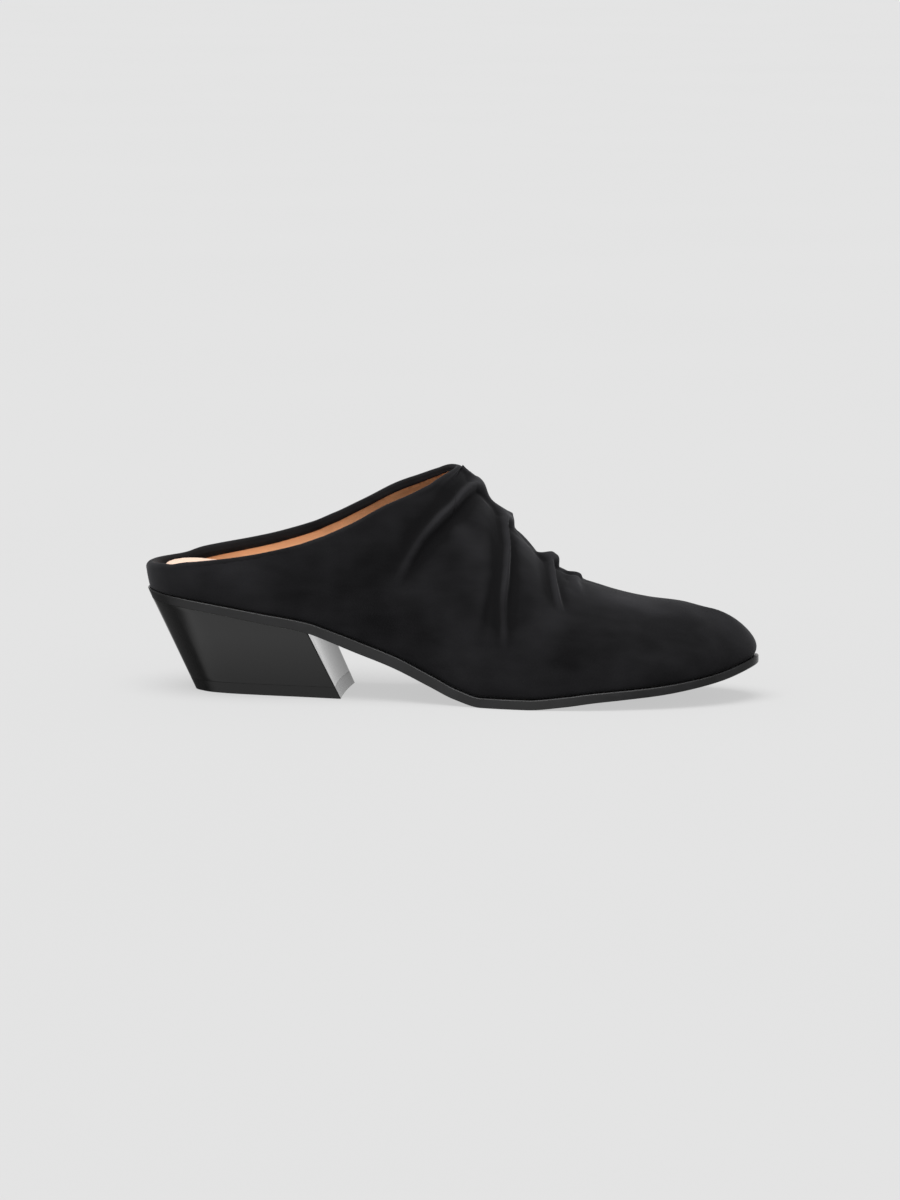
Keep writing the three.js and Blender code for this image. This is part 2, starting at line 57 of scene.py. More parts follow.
# %% [markdown]
# ## Sizes
# A shoemaker starts from a last and a few sizes in millimetres. They are the same here as in the CAD
# source, so that each piece lies exactly where its solid does.

# %% Sizes of the shoe, in millimetres
SHOE_LENGTH, BALL_WIDTH, SEAT_WIDTH = 262, 79, 57
HEEL_RISE, TOE_SPRING, TOE_SWING = 40.5, 15, 5
SOLE_THICKNESS, SOLE_MARGIN, SOLE_ROUNDING = 4.2, 1.8, 0.6
VAMP_HEIGHT, BACK_HEIGHT, RIDGE_LEAN = 89, 10.6, 2.5
INNER_RISE, OUTER_DIP = 2.6, 3
WALL, COLLAR_ROLL, THROAT_ROLL, ROLL_REACH = 2.2, 4.5, 3, 5
INSOLE_THICKNESS, FIT_GAP = 4, 0.3
PAD_THICKNESS, PAD_LENGTH, PAD_CLEARANCE = 9, 65, 1.2
HEEL_SLANT, HEEL_FOOT_LENGTH, HEEL_FOOT_WIDTH = 19, 66, 43
HEEL_INSET, BREAST_HOLLOW, LIFT_THICKNESS = 1.5, 3, 5
OUTER, INNER = -1, 1
SIDES = (OUTER, INNER)
MILLIMETRE = 0.001


def smooth(share):
    """Eases a share from 0 to 1 at both ends."""
    return share * share * (3 - 2 * share)


def curve(places, values):
    """A smooth line through chosen points that never overshoots between two of them."""
    x, y = np.array(places, float), np.array(values, float)
    chord = np.diff(y) / np.diff(x)
    before, after = np.append(chord[0], chord), np.append(chord, chord[-1])
    steady = before * after > 0
    slope = np.where(steady, 2 * before * after / np.where(steady, before + after, 1), 0)

    def at(where):
        where = np.clip(where, x[0], x[-1])
        i = np.clip(np.searchsorted(x, where, side="right") - 1, 0, len(x) - 2)
        span = x[i + 1] - x[i]
        s = (where - x[i]) / span
        level = y[i] + (y[i + 1] - y[i]) * smooth(s)
        return level + s * (1 - s) ** 2 * span * slope[i] - s * s * (1 - s) * span * slope[i + 1]

    return at


def along(t):
    """Share of the length for a turn t, which runs slowly at the back and at the toe."""
    return (1 - np.cos(np.pi * t)) / 2


def turn_at(at):
    return np.arccos(1 - 2 * np.clip(at, 0, 1)) / np.pi


def mix(a, b, share):
    return a + (b - a) * share


print("last of", SHOE_LENGTH, "mm, heel of", HEEL_RISE, "mm")

# %% [markdown]
# ## The sole's lines
# Seen from above, the sole is an outline that bulges at the ball and swings inwards at the toe. Seen
# from the side, it falls from the heel seat, lies flat under the ball and springs up at the toe. Two
# tables of chosen points give both, and every other piece is measured from them.

# %% Outline and side view of the sole
OUTLINE = [  # share of the length, then the outer and the inner half width as shares of the width
    (0, 0, 0), (0.02, 0.267, 0.267), (0.05, 0.388, 0.384), (0.1, 0.47, 0.46), (0.15, 0.496, 0.485),
    (0.2, 0.502, 0.488), (0.3, 0.463, 0.425), (0.4, 0.427, 0.346), (0.5, 0.454, 0.346),
    (0.6, 0.507, 0.412), (0.66, 0.52, 0.456), (0.7, 0.516, 0.477), (0.75, 0.503, 0.48),
    (0.85, 0.43, 0.402), (0.92, 0.328, 0.306), (0.97, 0.2, 0.194), (1, 0, 0),
]
PROFILE = [  # share of the length, share of the heel's rise, of the toe's spring, thickness, margin
    (0, 1, 0, 0.95, 0.45), (0.1, 0.92, 0, 0.95, 0.7), (0.2, 0.808, 0, 1, 0.95), (0.27, 0.72, 0, 1.05, 1),
    (0.31, 0.63, 0, 1.1, 1), (0.36, 0.505, 0, 1.15, 1), (0.42, 0.36, 0, 1.15, 1), (0.48, 0.185, 0, 1.1, 1),
    (0.52, 0.07, 0, 1.05, 1), (0.565, 0, 0, 1, 1), (0.64, 0, 0, 1, 1), (0.7, 0, 0.095, 1, 1),
    (0.75, 0, 0.215, 0.97, 1), (0.8, 0, 0.3, 0.93, 1), (0.85, 0, 0.385, 0.9, 1),
    (0.9, 0, 0.515, 0.86, 1.05), (0.95, 0, 0.7, 0.82, 1.1), (1, 0, 1, 0.8, 1.17),
]
SEAT_END, BALL_START, SWING_START = 0.2, 0.66, 0.6
TURN_STEP, SLOPE_STEP = 1e-3, 0.5

outline_at = turn_at(np.array([row[0] for row in OUTLINE]))
half_share = {
    OUTER: curve(outline_at, [row[1] for row in OUTLINE]),
    INNER: curve(outline_at, [row[2] for row in OUTLINE]),
}
profile_at = [row[0] for row in PROFILE]
heel_share, toe_share, sole_share, margin_share = (
    curve(profile_at, [row[column] for row in PROFILE]) for column in (1, 2, 3, 4)
)


def sole_bottom(x):
    at = np.clip(x / SHOE_LENGTH, 0, 1)
    return HEEL_RISE * heel_share(at) + TOE_SPRING * toe_share(at)


def slope_of(height, x):
    return (height(x + SLOPE_STEP) - height(x - SLOPE_STEP)) / (2 * SLOPE_STEP)


def sole_top(x):
    thickness = SOLE_THICKNESS * sole_share(np.clip(x / SHOE_LENGTH, 0, 1))
    return sole_bottom(x) + thickness * np.hypot(1, slope_of(sole_bottom, x))


def centre_line(at):
    return TOE_SWING * np.clip((at - SWING_START) / (1 - SWING_START), 0, 1) ** 2


def sole_edge(side, t):
    at = along(t)
    ease = np.clip((at - SEAT_END) / (BALL_START - SEAT_END), 0, 1)
    width = mix(SEAT_WIDTH, BALL_WIDTH, smooth(ease))
    return np.stack([SHOE_LENGTH * at, centre_line(at) + side * width * half_share[side](t)], -1)


def outward(side, t):
    """Level direction out of the sole's edge."""
    run = sole_edge(side, np.minimum(t + TURN_STEP, 1)) - sole_edge(side, np.maximum(t - TURN_STEP, 0))
    run = run / np.linalg.norm(run, axis=-1, keepdims=True)
    out = np.stack([-side * run[..., 1], side * run[..., 0]], -1)
    out = np.where((t <= 0)[..., None], (-1.0, 0.0), out)
    return np.where((t >= 1)[..., None], (1.0, 0.0), out)


def inset(side, t, distance):
    t = np.asarray(t, float)
    return sole_edge(side, t) - outward(side, t) * np.asarray(distance)[..., None]


def feather_margin(t):
    return SOLE_MARGIN * margin_share(along(t))


def raised(plan, height):
    """Points in plan, lifted to a height that is a function of x."""
    return np.concatenate([plan, height(plan[..., :1])], -1)


edge_y = np.concatenate([sole_edge(side, np.linspace(0, 1, 2001))[:, 1] for side in SIDES])
sole_low, sole_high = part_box("outsole")
SHIFT = np.array([
    sole_low.x / MILLIMETRE,
    (sole_low.y + sole_high.y) / 2 / MILLIMETRE - (edge_y.min() + edge_y.max()) / 2,
    0,
])
print("shoe's own zero in the frame, mm:", SHIFT.round(2))

# %% [markdown]
# ## The last
# The last is the wooden foot that leather is pulled over, and it gives the upper its true shape. Here
# it is a surface of two numbers: t runs from the back to the toe, and v from the sole's feather edge
# up to the ridge of the instep. Each section is a rounded arch, squarer at the heel.

# %% Ridge and sections of the last
CREST = [
    (0.1, 0.97), (0.2, 1.01), (0.3, 1.065), (0.4, 1.1), (0.45, 1.085), (0.511, 1.01), (0.535, 0.965),
    (0.573, 0.86), (0.606, 0.75), (0.646, 0.63), (0.681, 0.555), (0.717, 0.487), (0.76, 0.43),
    (0.812, 0.385), (0.865, 0.352), (0.917, 0.297), (0.94, 0.2727),
]
SPINE_BACK, SPINE_FRONT = 0.1, 0.917
BULGE, BULGE_SCALE = 2.6, 256 / 27
SECTION_AT = [0, 0.2, 0.4, 0.5, 0.65, 0.8, 1]
crest_share = curve(*zip(*CREST))
squareness = curve(SECTION_AT, [2.6, 2.5, 2.2, 2.05, 2.1, 2.2, 2.12])
bulge_share = curve(SECTION_AT, [0.9, 1.05, 1.15, 1, 0.8, 0.65, 0.6])


def ridge_height(x):
    return sole_top(x) + VAMP_HEIGHT * crest_share(x / SHOE_LENGTH)


def ridge_point(t):
    at = mix(SPINE_BACK, SPINE_FRONT, along(t))
    x = SHOE_LENGTH * at
    return np.stack([x, centre_line(at) + RIDGE_LEAN * np.sin(np.pi * along(t)), ridge_height(x)], -1)


def last_point(side, t, v):
    t, v = np.broadcast_arrays(np.asarray(t, float), np.asarray(v, float))
    foot, ridge = inset(side, t, feather_margin(t)), ridge_point(t)
    foot_height = sole_top(foot[..., 0]) + FIT_GAP
    power = 2 / squareness(along(t))
    out = np.maximum(np.cos(v * np.pi / 2), 0) ** power
    rise = np.sin(v * np.pi / 2) ** power
    plan = mix(ridge[..., :2], foot, out[..., None])
    swell = BULGE * bulge_share(along(t)) * BULGE_SCALE * rise * (1 - rise) ** 3
    plan = plan + outward(side, t) * swell[..., None]
    lean = slope_of(ridge_height, ridge[..., 0]) * (plan[..., 0] - ridge[..., 0]) * rise * rise
    return np.concatenate([plan, (mix(foot_height, ridge[..., 2], rise) + lean)[..., None]], -1)


def unit(vectors):
    return vectors / np.maximum(np.linalg.norm(vectors, axis=-1, keepdims=True), 1e-9)


def last_normal(side, t, v):
    """Direction out of the last. Both sides share it at the back, at the toe and on the ridge."""
    t, v = np.broadcast_arrays(np.asarray(t, float), np.asarray(v, float))
    ahead, behind = np.minimum(t + TURN_STEP, 1), np.maximum(t - TURN_STEP, 0)
    run = last_point(side, ahead, v) - last_point(side, behind, v)
    above, below = np.minimum(v + TURN_STEP, 1), np.maximum(v - TURN_STEP, 0)
    up = last_point(side, t, above) - last_point(side, t, below)
    normal = unit(np.cross(up, run) * side)
    upright = unit(np.stack([up[..., 2], 0 * up[..., 0], -up[..., 0]], -1))
    upright = np.where((t <= 0)[..., None], -upright, upright)
    normal = np.where(((t <= 0) | (t >= 1))[..., None], upright, normal)
    ridge = np.stack([-run[..., 2], 0 * run[..., 0], run[..., 0]], -1)
    return np.where((v >= 1)[..., None], unit(ridge), normal)


print("instep over the ball, mm:", round(float(ridge_height(150)), 1))

# %% [markdown]
# ## Topline
# The topline is the brim of the opening: low at the back and steep on its way up to the throat. Its
# height is known, so the place on the last is found by halving, for all stations at once.

# %% Topline and stations
THROAT, INNER_LATE, ROLL_TURN, HALVINGS = 0.515, 2.5, 6, 40
TOPLINE = [  # share of the length, rise from back to throat, and dip of the outer side
    (0, 0, 0), (0.03, 0.016, -0.3), (0.046, 0.029, -0.1), (0.072, 0.066, 0.12), (0.1, 0.096, 0.28),
    (0.156, 0.157, 0.44), (0.214, 0.231, 0.58), (0.267, 0.312, 0.75), (0.3, 0.388, 0.92),
    (0.347, 0.515, 1), (0.4, 0.672, 0.9), (0.44, 0.779, 0.82), (0.473, 0.88, 0.75), (0.5, 0.965, 0.45),
    (0.515, 1, 0),
]
topline_at, topline_rise, topline_dip = zip(*TOPLINE)
topline_share, dip_share = curve(topline_at, topline_rise), curve(topline_at, topline_dip)
THROAT_TURN = float(turn_at((THROAT - SPINE_BACK) / (SPINE_FRONT - SPINE_BACK)))
THROAT_X = float(ridge_point(np.array(THROAT_TURN))[0])
COLLAR_STEPS, FOLD_STEPS, TOE_STEPS = 140, 130, 44
COLLAR_EASE, FOLDS_END = 1.8, 0.7


def topline_height(side, x):
    at = np.clip(x / SHOE_LENGTH, 0, THROAT)
    inner = INNER_RISE * np.sin(np.pi * (at / THROAT) ** INNER_LATE)
    handed = inner if side == INNER else -OUTER_DIP * dip_share(at)
    climb = mix(BACK_HEIGHT, VAMP_HEIGHT * crest_share(THROAT), topline_share(at))
    return sole_top(x) + climb + handed


def roll_at(t):
    return mix(COLLAR_ROLL, THROAT_ROLL, np.clip(t / THROAT_TURN, 0, 1))


def wall_top(side, t):
    upright = 1 - (np.minimum(t, THROAT_TURN) / THROAT_TURN) ** ROLL_TURN
    low, high = np.zeros_like(t), np.ones_like(t)
    for _ in range(HALVINGS):
        middle = (low + high) / 2
        point = last_point(side, t, middle)
        short = point[..., 2] < topline_height(side, point[..., 0]) - roll_at(t) / 2 * upright
        low, high = np.where(short, middle, low), np.where(short, high, middle)
    return np.where(t >= THROAT_TURN, 1, high)


def steps(count):
    return np.linspace(0, 1, count + 1)


stations = np.concatenate([
    THROAT_TURN * (1 - (1 - steps(COLLAR_STEPS)) ** COLLAR_EASE),
    mix(THROAT_TURN, FOLDS_END, steps(FOLD_STEPS)[1:]),
    mix(FOLDS_END, 1, steps(TOE_STEPS)[1:]),
])
tops = {side: wall_top(side, stations) for side in SIDES}
print(len(stations), "stations, throat at x =", round(THROAT_X, 1), "mm")

# %% [markdown]
# ## Gathers
# Four folds are gathered into the vamp, with a hollow between the second and the third. Each is a
# ridge with a gentle rear flank and a steep front one, and leather that rises into a ridge leaves a
# trough beside it, which is what catches the shade. Cloth simulation could make folds, but not these
# folds in these places, so each one is placed with its crest, its two flanks and its troughs.
# Softer swells and dents go between them, and a last table gives painted light and shade: patches where the
# suede is painted lighter or darker.

# %% Folds, swells and painted light of the vamp
GIRTH = 85  # from the feather edge to the ridge
# A fold's pairs hold on the ridge and down the side, and "square" is how blunt its front is on the
# ridge. Its run down each side is (share of the girth, x). Where "tall" is negative, it's a hollow.
FOLDS = [
    {"tall": (2.6, 2.3), "rear": (2.8, 1.3), "front": (3.5, 1.1), "square": 2,
     "behind": (0.15, 0.9), "ahead": (0, 1.3),
     OUTER: [(0, 142.4), (0.093, 141.2), (0.349, 135.1), (0.501, 128.2), (0.606, 122.2), (0.719, 116),
             (0.82, 110.5)],
     INNER: [(0, 142.4), (0.3, 134.5), (0.6, 117.9)]},
    {"tall": (2.05, 2.8), "rear": (4.4, 1.6), "front": (3.0, 1.2), "square": 4,
     "behind": (0.1, 1.5), "ahead": (0.4, 1.3),
     OUTER: [(0, 154.5), (0.12, 154), (0.229, 155.4), (0.334, 157), (0.503, 157.4), (0.6, 157.1),
             (0.757, 158), (0.83, 158.2)],
     INNER: [(0, 154.5), (0.3, 154), (0.62, 153)]},
    {"tall": (-0.8, -0.2), "rear": (4.5, 4), "front": (4.2, 4), "square": 2,
     "behind": (0, 0), "ahead": (0, 0),
     OUTER: [(0, 163.5), (0.25, 165.5)],
     INNER: [(0, 163.5), (0.25, 162)]},
    {"tall": (4.2, 2.6), "rear": (3.2, 1.5), "front": (4.2, 1.2), "square": 6,
     "behind": (0.5, 1.6), "ahead": (0.6, 1.0),
     OUTER: [(0, 172.3), (0.111, 174.3), (0.276, 176.6), (0.423, 179.2), (0.467, 180.2), (0.52, 181.4)],
     INNER: [(0, 172.3), (0.2, 172.3), (0.42, 171.5)]},
    {"tall": (2.3, 1.0), "rear": (4.0, 2.4), "front": (2.3, 1.8), "square": 3,
     "behind": (0.3, 0.6), "ahead": (0.2, 0.3),
     OUTER: [(0, 184.6), (0.097, 184.6), (0.174, 185.7), (0.28, 187)],
     INNER: [(0, 184.6), (0.1, 184), (0.22, 183)]},
]
SWELLS = [  # x, distance down from the ridge, spreads, lean and height; outer side only
    (140, 33, 7, 4, 0.0, -0.4),
    (138.6, 41, 10, 5, 0.0, 0.8),
    (126, 34, 4, 6, 0.8, -0.7),
    (150, 60, 1.4, 7, 0.15, -0.8),
    (147, 61, 2.2, 8, 0.15, 0.4),
    (181.5, 11, 1.8, 4, 0.0, -0.7),
    (166, 30, 6, 9, 0.3, 0.5),
    (166, 52, 8, 10, 0.0, -0.4),
    (204, 18, 13, 8, 0.0, 0.5),
    (192, 38, 10, 8, 0.3, -0.4),
]
# Painted light and shade: each patch paints the suede lighter or darker, lighter on the toe's top, the
# quarter and one swell, darker low on the side.
PAINTED_LIGHT_PATCHES = [  # x, distance down from the ridge, spreads and how much lighter; outer side only
    (206, 19, 14, 7, 0.85),
    (224, 25, 14, 7, 0.35),
    (40, 76, 22, 9, 0.8),
    (103, 66, 30, 14, -0.35),
    (191, 66, 26, 12, -0.35),
    (138, 42, 9, 5, 0.25),
]
# The patches of nap counted here are painted light and shade.
print(len(FOLDS), "gathers,", len(SWELLS), "swells and", len(PAINTED_LIGHT_PATCHES), "patches of nap")

# %% [markdown]
# ## From tables to a surface
# Across its run, a fold is a bell whose two flanks have their own widths, and its troughs are two wider
# bells beside it. A fold crosses the ridge at a right angle, because a crest that met the ridge at a
# slant would leave a point there. Sculpting could give the same forms, but a height that is worked out
# can be changed in its table, and from it comes painted light and shade: crests painted lighter, troughs
# darker.

# %% Height of the gathers
NARROWED, RIDGE_EASE, LEAN_STEP = 0.15, 0.03, 0.01
TROUGH_AWAY, TROUGH_SPREAD, TROUGH_RUNOUT = 1.7, 0.8, 2.4
RIDGE_END, TROUGH_END, SWELL_START = 3, 4, 15
CREST_PAINTED_HIGHLIGHT, SWELL_PAINTED_LIGHT = 0.4, 0.3


def bell(away, width, square=2):
    return np.exp(-(np.abs(away / width) ** square))


def run_of(pairs, down):
    """Where a fold lies so far down. It crosses the ridge at a right angle, so that both sides meet."""
    return curve(*zip(*pairs))(down * down / np.hypot(down, RIDGE_EASE))


def folds(side, x, v):
    """Height of the gathers, in millimetres, and their painted light and shade: painted highlight up to 1,
    painted shade down to -1.
    """
    down, height, painted_light = 1 - v, 0, 0
    for fold in FOLDS:
        pairs = fold[side]
        share = np.clip(down / pairs[-1][0], 0, 1)
        narrowed = smooth(np.minimum(1, share / NARROWED))
        tall, rear, front = (mix(*fold[name], narrowed) for name in ("tall", "rear", "front"))
        lean = (run_of(pairs, down + LEAN_STEP) - run_of(pairs, down - LEAN_STEP)) / (2 * LEAN_STEP * GIRTH)
        away = (x - run_of(pairs, down)) / np.hypot(1, lean)
        width = np.where(away < 0, rear, front)
        square = np.where(away < 0, 2, mix(fold["square"], 2, narrowed))
        ridge = (1 - share**RIDGE_END) * bell(away, width, square)
        beyond = np.abs(away) - TROUGH_AWAY * width
        spread = np.where(beyond < 0, TROUGH_SPREAD, TROUGH_RUNOUT) * width
        trough = (1 - share**TROUGH_END) * bell(beyond, spread)
        behind, ahead = (mix(*fold[name], narrowed**2) for name in ("behind", "ahead"))
        trough = trough * np.where(away < 0, behind, ahead)
        # Painted light and shade: the crest is painted lighter and its troughs darker, where shade falls.
        height, painted_light = height + tall * ridge - trough, painted_light + CREST_PAINTED_HIGHLIGHT * tall * ridge - trough
    for swell_x, swell_down, wide, deep, lean, size in SWELLS if side == OUTER else ():
        off = down * GIRTH - swell_down
        swell = size * bell(x - swell_x + lean * off, wide) * bell(off, deep)
        swell = swell * np.minimum(1, SWELL_START * down)
        # Painted light and shade: a swell is painted lighter and a dent darker.
        height, painted_light = height + swell, painted_light + SWELL_PAINTED_LIGHT * swell
    # Painted light and shade: patches that make the suede's colour lighter or darker.
    for painted_x, painted_down, wide, deep, lighter in PAINTED_LIGHT_PATCHES if side == OUTER else ():
        painted_light = painted_light + lighter * bell(x - painted_x, wide) * bell(down * GIRTH - painted_down, deep)
    return height, np.clip(painted_light, -1, 1)


ridge_x = ridge_point(stations)[:, 0]
print("tallest gather, mm:", folds(OUTER, ridge_x, np.ones_like(ridge_x))[0].max().round(2))

# %% [markdown]
# ## The suede's outside
# The heights are laid on the last along its normals. On the real shoe the suede is stretched tight over
# the padding of the topline, so it swells a little beside the edge. No trough goes deeper than a limit,
# or the lining would come through it.

# %% Outside of the suede
OUTER_ROWS, DEEPEST = 104, 1.1
COLLAR_SWELL, COLLAR_AWAY, COLLAR_SPREAD, COLLAR_REACH, EDGE_EASE = 1.1, 3.3, 2.1, 24, 1.6
forward = np.maximum(ridge_x - THROAT_X, 0)


def suede_wall(side):
    """The suede's outside. A swell follows the topline near the ridge, and the very edge stays as it is."""
    t, top = stations[:, None], tops[side][:, None]
    v = top * steps(OUTER_ROWS)
    point = last_point(side, t, v)
    lift, painted_light = folds(side, point[..., 0], v)
    from_edge = np.hypot(forward[:, None], (top - v) * GIRTH)
    swell = bell(from_edge - COLLAR_AWAY, COLLAR_SPREAD) * bell((1 - v) * GIRTH, COLLAR_REACH)
    lift = lift + COLLAR_SWELL * swell
    lift = np.where(lift < 0, DEEPEST * np.tanh(lift / DEEPEST), lift) * (1 - bell(from_edge, EDGE_EASE))
    return point + last_normal(side, t, v) * lift[..., None], painted_light


walls = {side: suede_wall(side) for side in SIDES}
suede_outside, suede_painted_light = ({side: walls[side][i] for side in SIDES} for i in (0, 1))
print("highest point of the suede, mm:", round(float(suede_outside[OUTER][..., 2].max()), 1))

# %% [markdown]
# ## Joining sheets of points
# Every piece is a set of sheets of points, sewn into one closed skin. Blender could bridge the sheets,
# but welding points that coincide is simpler and can't join the wrong edges. In a shut skin each edge
# has two faces, so the edges that haven't are counted.

# %% Skin: from sheets to a piece
WELD, SHARP = 1e-7, 50


class Skin:
    """Gathers sheets of points, in millimetres, and sews them into one piece, in metres."""

    def __init__(self):
        self.points, self.faces, self.rubs, self.count = [], [], [], 0

    def sheet(self, grid, painted_light=0.0):
        rows, columns = grid.shape[:2]
        index = np.arange(rows * columns).reshape(rows, columns) + self.count
        corners = index[:-1, :-1], index[1:, :-1], index[1:, 1:], index[:-1, 1:]
        self.faces += np.stack(corners, -1).reshape(-1, 4).tolist()
        self.points.append(grid.reshape(-1, 3))
        self.rubs.append(np.broadcast_to(painted_light, (rows, columns)).ravel())
        self.count += rows * columns
        return self

    def strip(self, first, second):
        return self.sheet(np.stack([first, second], 1))

    def piece(self, name, node, slot, sharp=None):
        mesh = bpy.data.meshes.new(name)
        points = (np.concatenate(self.points) + SHIFT) * MILLIMETRE
        mesh.from_pydata(points.tolist(), [], self.faces)
        # Each point carries its painted light and shade, which the finishes turn into lighter or darker
        # colour.
        mesh.attributes.new("painted_light", "FLOAT", "POINT").data.foreach_set("value", np.concatenate(self.rubs))
        work = bmesh.new()
        work.from_mesh(mesh)
        bmesh.ops.remove_doubles(work, verts=work.verts, dist=WELD)
        bmesh.ops.recalc_face_normals(work, faces=work.faces)
        open_edges = sum(len(edge.link_faces) != 2 for edge in work.edges)
        work.to_mesh(mesh)
        work.free()
        mesh.shade_smooth()
        if sharp:
            mesh.set_sharp_from_angle(angle=math.radians(sharp))
        made = bpy.data.objects.new(name, mesh)
        scene.collection.objects.link(made)
        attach(made, "root")
        if node:
            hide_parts(node)
        print(name, len(mesh.polygons), "faces,", open_edges, "edges not shut")
        return made


print("points less than", WELD, "m apart are welded")

# %% [markdown]
# ## Suede upper
# The suede is one layer. It comes up the outside, rolls over a padded cord at the topline and is turned
# down inside as a facing, where the lining is sewn under its edge. A Solidify modifier could thicken
# the outside, but it can't roll a brim. So the section is drawn whole: outside, roll, facing, then the
# hidden back of the suede down to the sole.

# %% Suede upper with its rolled topline
FACING_BACK, FACING_THROAT, FACING_PAST, FACING_PROUD, PROUD_RUN = 5.5, 2.4, 0.8, 0.4, 1.5
LINING, LAYER_GAP, ROLL_ROOM, ROLL_ROWS = 0.9, 0.05, 1.25, 14
FACING_ROWS = np.array([0, 0.15, 0.3, 0.45, 0.6, 0.75, 0.88, 1])
HIDDEN_ROWS = 16
normals_top = {side: last_normal(side, stations, tops[side]) for side in SIDES}
girth = {
    side: np.linalg.norm(suede_outside[side][:, -1] - suede_outside[side][:, 0], axis=-1) for side in SIDES
}
before_throat = stations <= THROAT_TURN


def facing_depth(side):
    """How far down from the topline the facing goes at each station."""
    depth = mix(FACING_BACK, FACING_THROAT, np.clip(stations / THROAT_TURN, 0, 1))
    depth = np.minimum(depth, girth[side] - INSOLE_THICKNESS - 2 * FIT_GAP)
    past = FACING_THROAT * np.sqrt(np.maximum(1 - (forward / FACING_PAST) ** 2, 0))
    return np.where(before_throat, depth, past)


def inside_wall(side, down, thinner, proud=0.0):
    """Points inside the wall, some way down from the topline, on a layer of the wall."""
    span = girth[side][:, None]
    v = tops[side][:, None] * (1 - down / span)
    reach = np.minimum(ROLL_REACH, ROLL_ROOM * (span - INSOLE_THICKNESS))
    away = np.hypot(forward[:, None], down)
    wall = mix(WALL, roll_at(stations)[:, None], np.exp(-((away / reach) ** 2)))
    wall = wall - thinner + proud * np.minimum(1, away / PROUD_RUN)
    t = stations[:, None]
    return last_point(side, t, v) - last_normal(side, t, v) * wall[..., None]


def foot_row(side, distance):
    plan = inset(side, stations, feather_margin(stations) + distance)
    return raised(plan, lambda x: sole_top(x) + FIT_GAP)


def roll_over(outer_top, spread):
    """The half round of the topline, a loop from the throat round the back and up to the throat."""
    last = COLLAR_STEPS
    edge = np.concatenate([outer_top[OUTER][last:0:-1], outer_top[INNER][:last]])
    normal = np.concatenate([normals_top[OUTER][last:0:-1], normals_top[INNER][:last]])
    turns = np.concatenate([stations[last:0:-1], stations[:last]])
    over = unit(np.cross(np.roll(edge, -1, 0) - np.roll(edge, 1, 0), normal))
    radius = (roll_at(turns) / 2)[:, None, None]
    angle = (np.pi * steps(spread))[None, :, None]
    centre = edge - normal * radius[:, 0]
    arc = normal[:, None] * np.cos(angle) + over[:, None] * np.sin(angle)
    loop = centre[:, None] + arc * radius
    return np.concatenate([loop, loop[:1]])


facing = {side: facing_depth(side) for side in SIDES}
suede = Skin()
for side in SIDES:
    down = facing[side][:, None] * FACING_ROWS
    face = inside_wall(side, down, 0, FACING_PROUD)
    hidden_down = mix(facing[side][:, None], girth[side][:, None], steps(HIDDEN_ROWS)[:-1])
    hidden = inside_wall(side, hidden_down, LINING + LAYER_GAP)
    gone = (facing[side] <= 0)[:, None, None]
    face = np.where(gone, hidden[:, :1], face)
    foot = foot_row(side, WALL - LINING - LAYER_GAP)
    # The outside carries the painted light and shade of the gathers.
    suede.sheet(suede_outside[side], suede_painted_light[side])
    suede.sheet(np.concatenate([face, hidden, foot[:, None]], 1))
    suede.strip(suede_outside[side][:, 0], foot)
suede.sheet(roll_over({side: suede_outside[side][:, -1] for side in SIDES}, ROLL_ROWS))
upper = suede.piece("suede_upper", "upper", "suede")

# %% [markdown]
# ## Lining
# The lining is a thin tan leather that hangs inside the suede, from under the facing down to the
# insole. It is a closed layer of its own, so that its cut edge can be seen under the facing's. Its colour
# is painted lighter over the heel, as painted light, and darker towards the throat, as painted shade.

# %% Tan lining
EDGE_AWAY, LINING_ROWS = 0.03, 26
shut = int(np.argmax(~before_throat & (facing[OUTER] <= 0)))
# Painted light and shade along the lining: lighter over the heel, where light falls in, darker towards the
# throat.
lining_painted_light = curve([30, 60, 80, 100, 125], [0.7, 0.7, 0.25, -0.2, -0.5])
lining_skin = Skin()
for side in SIDES:
    start = np.where(facing[side] > 0, facing[side] + EDGE_AWAY, 0)[:, None]
    down = mix(start, girth[side][:, None], steps(LINING_ROWS)[:-1])
    near = np.concatenate([inside_wall(side, down, 0), foot_row(side, WALL)[:, None]], 1)
    painted_paler = lining_painted_light(near[..., 0])
    far = np.concatenate([inside_wall(side, down, LINING), foot_row(side, WALL - LINING)[:, None]], 1)
    lining_skin.sheet(near, painted_paler).sheet(far).strip(near[:, -1], far[:, -1])
    lining_skin.strip(near[: shut + 1, 0], far[: shut + 1, 0])
lining = lining_skin.piece("tan_lining", None, "lining", sharp=SHARP)

# %% [markdown]
# ## Slabs
# The sole and the insole are slabs with the last's outline. A slab is rings round the outline, from the
# bottom up, closed by a floor and a lid. An extruded outline would be quicker, but it couldn't follow
# the arch. The lid is many faces wide so that it can bend with the sole.

# %% Slab: rings, floor and lid
ACROSS, EDGE_TURNS = 18, 6
FLAT_ENDS = turn_at(np.array([0.565, 0.64]))
slab_turns = np.sort(np.concatenate([stations, FLAT_ENDS]))


def ring(distance, height):
    x = SHOE_LENGTH * along(slab_turns)
    return {side: raised(inset(side, slab_turns, distance(x)), height) for side in SIDES}


def lid(edges, height):
    """A sheet from one side's edge to the other's, at its own height all over."""
    outer, inner = edges[OUTER][:, None, :2], edges[INNER][:, None, :2]
    return raised(mix(outer, inner, steps(ACROSS)[None, :, None]), height)


def slab(rings, floor, roof):
    skin = Skin()
    for side in SIDES:
        skin.sheet(np.stack([edges[side] for edges in rings], 1))
    return skin.sheet(lid(rings[0], floor)).sheet(lid(rings[-1], roof))


